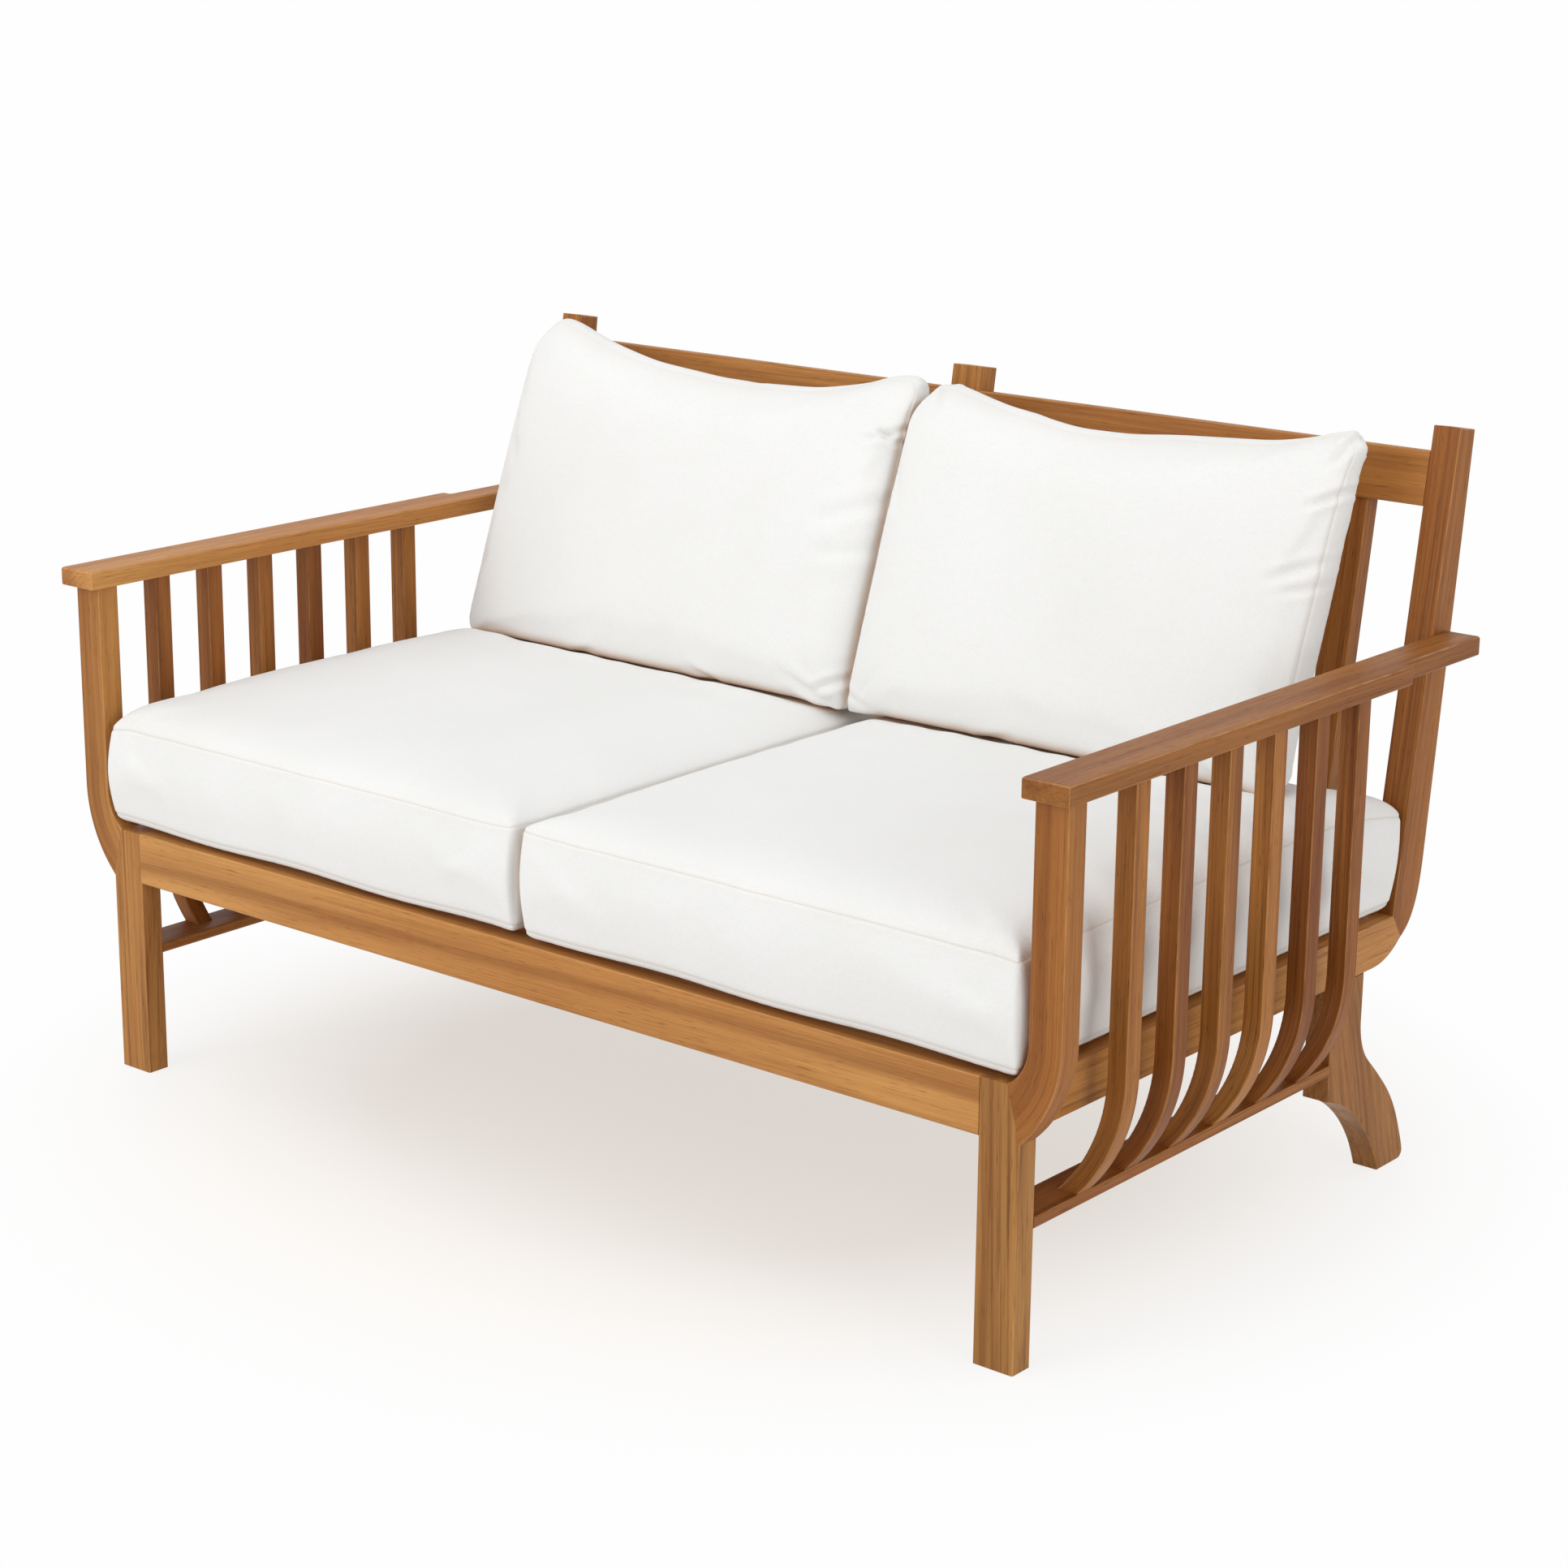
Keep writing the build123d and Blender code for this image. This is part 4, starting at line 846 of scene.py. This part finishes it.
def back_form(across, along, deep, foot_x, top_x, brow):
    """The pillow before it is filled; brow gives the heights of its upper edge from left to right."""
    rise = back_top_z - back_foot_z
    half = (foot_x[1] - foot_x[0]) / 2
    inner_side = across * np.sign(-(foot_x[0] + foot_x[1])) > 0
    top_corner = np.where(across < 0, *back_top_corners)
    foot_corner = np.where(inner_side, back_inner_foot_corner, back_outer_foot_corner)
    corner = np.where(along > 0, top_corner, foot_corner)
    u, v = round_corners(across * half, along * rise / 2, half, rise / 2, corner)
    run = v / rise + 0.5
    fine = np.linspace(-1.2, 1.2, 241)
    soft = np.hanning(27) / np.hanning(27).sum()
    smooth = np.convolve(np.interp(fine, *brow), soft, "same")
    ears = np.interp(u / half, fine, smooth) - back_top_z - ear_sink
    z = back_foot_z + run * rise + ears * np.clip(run, 0, 1) ** 3
    left = foot_x[0] + (top_x[0] - foot_x[0]) * run ** 2
    right = foot_x[1] + (top_x[1] - foot_x[1]) * run ** 2
    x = (left + right) / 2 + u / half * (right - left) / 2
    middle = back_middle_depth + back_middle_slope * (z - back_middle_foot_z)
    squareness = np.where(inner_side, back_inner_squareness, back_outer_squareness)
    wide = np.clip(1 - np.abs(across) ** squareness, 0, 1)
    squareness = np.where(along < 0, back_foot_squareness, back_top_squareness)
    tall = np.clip(1 - np.abs(along) ** squareness, 0, 1)
    lens = (np.clip(1 - across * across, 0, 1) * np.clip(1 - along * along, 0, 1)) ** 0.75
    border = (np.abs(across) == 1) | (np.abs(along) == 1)
    lip = back_lip - (back_lip - back_top_lip) * np.clip(along, 0, 1) ** 8
    front = middle - lip - back_front_swell * (wide * tall) ** 0.6 * (1 - back_front_taper * along)
    rear = middle + back_border_rear + back_rear_swell * lens
    rear = np.minimum(rear, back_depth(z) - back_rear_gap)
    side = middle + back_border_rear - deep * (back_border_rear + lip)
    depth = np.where(border, side, np.where(deep > 0.5, front, rear))
    puff = np.where(border, back_border_puff * np.sin(np.pi * deep), 0)
    side_puff = np.sign(across) * puff * np.where(inner_side, back_inner_puff_share, 1)
    x = x + np.where(np.abs(across) == 1, side_puff, 0)
    z = z + np.where(along == 1, puff, 0)
    return to_metres(x, depth, z)


def press(piece, start, end, depth, width):
    """Pushes a crease into the front from start to end, given in x and z, all in metres."""
    mesh = piece.data
    points, away = points_of(mesh), outward(mesh)
    start, end = np.array(start), np.array(end)
    seen = points[:, [0, 2]] - start
    line = end - start
    share = np.clip(seen @ line / (line @ line), 0, 1)
    far = np.linalg.norm(seen - share[:, None] * line, axis=1)
    taper = np.sin(np.pi * np.clip(0.12 + 0.88 * share, 0, 1)) ** 0.7
    valley = -depth * np.exp(-(far / width) ** 2)
    valley = valley + 0.5 * depth * np.exp(-((far - 1.9 * width) / width) ** 2)
    shift = valley * taper * (away[:, 1] < 0.3)
    move_to(mesh, points + away * shift[:, None])


across, along, deep, back_faces = sewn_box(
    cloth_lines(88, 1.2), cloth_lines(60, 1.2), (cloth_lines(8, 0.9) + 1) / 2
)
back_marks = {"across": across, "along": along, "deep": deep}
left_brow = (
    (-1.0, -0.93, -0.84, -0.6, -0.38, 0.06, 0.47, 0.7, 0.85, 0.96, 1.0),
    (829, 833, 830, 811, 798, 788, 793, 805, 817, 817, 812),
)
right_brow = (
    (-1.0, -0.93, -0.83, -0.58, -0.25, 0.0, 0.19, 0.62, 0.8, 0.92, 1.0),
    (807, 813, 814, 801, 788, 789, 795, 803, 813, 821, 818),
)
# both sides at the foot and at the top, the upper edge, both sides once filled in metres, and the
# seed of the puckers
back_pads = {
    "back_cushion_left": {
        "foot_x": (-610.0, -0.5),
        "top_x": (-599.0, -0.5),
        "brow": left_brow,
        "filled_x": (-0.620, -0.0003),
        "seed": 15,
    },
    "back_cushion_right": {
        "foot_x": (0.5, 570.0),
        "top_x": (0.5, 577.0),
        "brow": right_brow,
        "filled_x": (0.0003, 0.580),
        "seed": 19,
    },
}
# creases from start to end in x and z, then their depth and width, in metres
creases = {
    "back_cushion_left": (
        ((-0.002, 0.752), (-0.040, 0.740), 0.0045, 0.0040),
        ((-0.002, 0.738), (-0.036, 0.757), 0.0035, 0.0038),
        ((-0.006, 0.672), (-0.085, 0.645), 0.0030, 0.0090),
        ((-0.006, 0.620), (-0.070, 0.612), 0.0025, 0.0080),
        ((-0.005, 0.474), (-0.040, 0.458), 0.0045, 0.0050),
        ((-0.020, 0.446), (-0.075, 0.475), 0.0035, 0.0060),
        ((-0.190, 0.442), (-0.235, 0.456), 0.0025, 0.0060),
        ((-0.420, 0.441), (-0.380, 0.452), 0.0020, 0.0060),
        ((-0.300, 0.796), (-0.240, 0.780), 0.0020, 0.0080),
    ),
    "back_cushion_right": (
        ((0.578, 0.752), (0.545, 0.736), 0.0045, 0.0040),
        ((0.570, 0.680), (0.520, 0.660), 0.0035, 0.0050),
        ((0.572, 0.655), (0.540, 0.648), 0.0025, 0.0040),
        ((0.572, 0.806), (0.556, 0.776), 0.0050, 0.0050),
        ((0.030, 0.806), (0.046, 0.780), 0.0035, 0.0050),
        ((0.010, 0.462), (0.050, 0.450), 0.0018, 0.0050),
        ((0.200, 0.441), (0.250, 0.452), 0.0020, 0.0060),
        ((0.150, 0.800), (0.190, 0.784), 0.0020, 0.0080),
    ),
}
back_foam_limit = 0.006
pressed_foot_z = 0.4383
sunk_foot_z = 0.4358
foot_ease = 0.001
back_panel_halves = (0.30, 0.175)
back_seams_apart = 0.040
backs = []
for name, pad in back_pads.items():
    points = back_form(across, along, deep, pad["foot_x"], pad["top_x"], pad["brow"])
    backs.append(slack_cover(name + "_cover", points, back_faces, back_marks))
fill_with_foam(backs, foam_pressure, back_foam_limit)
for back, (name, pad) in zip(backs, back_pads.items()):
    points = points_of(back.data)
    points[:, 0] = stretch_to(points[:, 0], *pad["filled_x"])
    # the foot sinks a little, and is pressed flat on the seat
    sunk = points[:, 2] - points[:, 2].min() + sunk_foot_z
    points[:, 2] = -stop_at(-sunk, -pressed_foot_z, foot_ease)
    stop_at_back(points)
    move_to(back.data, points)
    finer(back)
    sew(back, *back_panel_halves, back_seams_apart, pad["seed"], faint=0.8)
    for start, end, depth, width in creases[name]:
        press(back, start, end, depth, width)
    back.data.materials.append(cover_cloth)
    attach(back, "root")
    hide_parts(name)


# Studio: a pale floor that runs out to plain white, three soft lamps above, in front and to the
# right, and the camera where the loveseat was seen from.
def seen_rays(tree):
    rays = tree.nodes.new("ShaderNodeLightPath").outputs
    through = reckon(tree, "MAXIMUM", rays["Is Glossy Ray"], rays["Is Transmission Ray"])
    return reckon(tree, "MAXIMUM", rays["Is Camera Ray"], through)


floor_half = 60
floor_drop = 0.0005
# the paper as seen is warmer than as lit, and so is the glow near the loveseat: a painted warm tint of
# the shade under it
paper_lit = (0.80, 0.795, 0.785, 1)
paper_seen_warm_shade = (0.94, 0.915, 0.885, 1)
glow_near_warm_shade = (0.99, 0.955, 0.91, 1)
glow_far = (0.99, 0.99, 0.99, 1)
# how far from the middle of the floor its glow turns from a painted warm tint, laid over the loveseat's
# shadow, to plain white, and the paper turns into glow; near the middle the glow is weaker, so the shadow
# shows through it, lightened
whiter_reach = (0.45, 0.8)
glow_reach = (0.42, 0.92)
least_glow = 0.6
floor_corners = []
for way_x, way_y in ((-1, -1), (1, -1), (1, 1), (-1, 1)):
    floor_corners.append((way_x * floor_half, way_y * floor_half, 0))
floor_mesh = bpy.data.meshes.new("floor")
floor_mesh.from_pydata(floor_corners, [], [(0, 1, 2, 3)])
floor = bpy.data.objects.new("floor", floor_mesh)
floor.location.z = -floor_drop
bpy.context.scene.collection.objects.link(floor)
paper, tree, sheet, place = fresh_finish("white studio paper")
sheet.inputs["Roughness"].default_value = 0.95
sheet.inputs["Specular IOR Level"].default_value = 0.0
seen = seen_rays(tree)
plug(tree, blend(tree, seen, paper_lit, paper_seen_warm_shade), sheet.inputs["Base Color"])
away = steer(tree, "LENGTH", place)
glow = tree.nodes.new("ShaderNodeEmission")
plug(tree, blend(tree, span(tree, away, *whiter_reach), glow_near_warm_shade, glow_far), glow.inputs["Color"])
far = span(tree, away, *glow_reach, least_glow, 1.0)
mixed = tree.nodes.new("ShaderNodeMixShader")
plug(tree, reckon(tree, "MULTIPLY", far, seen), mixed.inputs[0])
plug(tree, sheet.outputs[0], mixed.inputs[1])
plug(tree, glow.outputs[0], mixed.inputs[2])
plug(tree, mixed.outputs[0], tree.nodes["Material Output"].inputs["Surface"])
floor_mesh.materials.append(paper)

room_light = 0.66
room_seen = 0.99
world = bpy.data.worlds.new("soft white room")
bpy.context.scene.world = world
world.use_nodes = True
tree = world.node_tree
sky = tree.nodes["Background"]
sky.inputs["Color"].default_value = (1.0, 1.0, 1.0, 1.0)
plug(tree, span(tree, seen_rays(tree), 0.0, 1.0, room_light, room_seen), sky.inputs["Strength"])


def soft_lamp(name, spot, aim, width, watts):
    lamp = bpy.data.lights.new(name, "AREA")
    lamp.shape = "SQUARE"
    lamp.size = width
    lamp.energy = watts
    stand = bpy.data.objects.new(name, lamp)
    stand.location = spot
    stand.rotation_euler = (Vector(aim) - Vector(spot)).to_track_quat("-Z", "Y").to_euler()
    bpy.context.scene.collection.objects.link(stand)


soft_lamp("overhead", (-0.3, -0.4, 3.6), (0, 0, 0.2), 3.6, 32)
soft_lamp("front", (-1.2, -4.2, 2.0), (0, 0, 0.4), 3.0, 64)
soft_lamp("right", (4.4, -0.9, 1.3), (0, 0, 0.4), 2.4, 40)

camera_spot = (2.3566, -2.81705, 1.4144)
yaw, pitch, roll = 0.6888, -0.2737, 0.0093
lens = bpy.data.cameras.new("camera")
lens.sensor_width = 36
lens.lens = 77.78
camera = bpy.data.objects.new("camera", lens)
ahead = Vector((-math.sin(yaw) * math.cos(pitch), math.cos(yaw) * math.cos(pitch), math.sin(pitch)))
right = Vector((math.cos(yaw), math.sin(yaw), 0))
up = right.cross(ahead)
side = right * math.cos(roll) + up * math.sin(roll)
top = up * math.cos(roll) - right * math.sin(roll)
turn = Matrix((side, top, -ahead)).transposed().to_4x4()
camera.matrix_world = Matrix.Translation(camera_spot) @ turn
bpy.context.scene.collection.objects.link(camera)
bpy.context.scene.camera = camera
bpy.context.scene.view_settings.view_transform = "Standard"
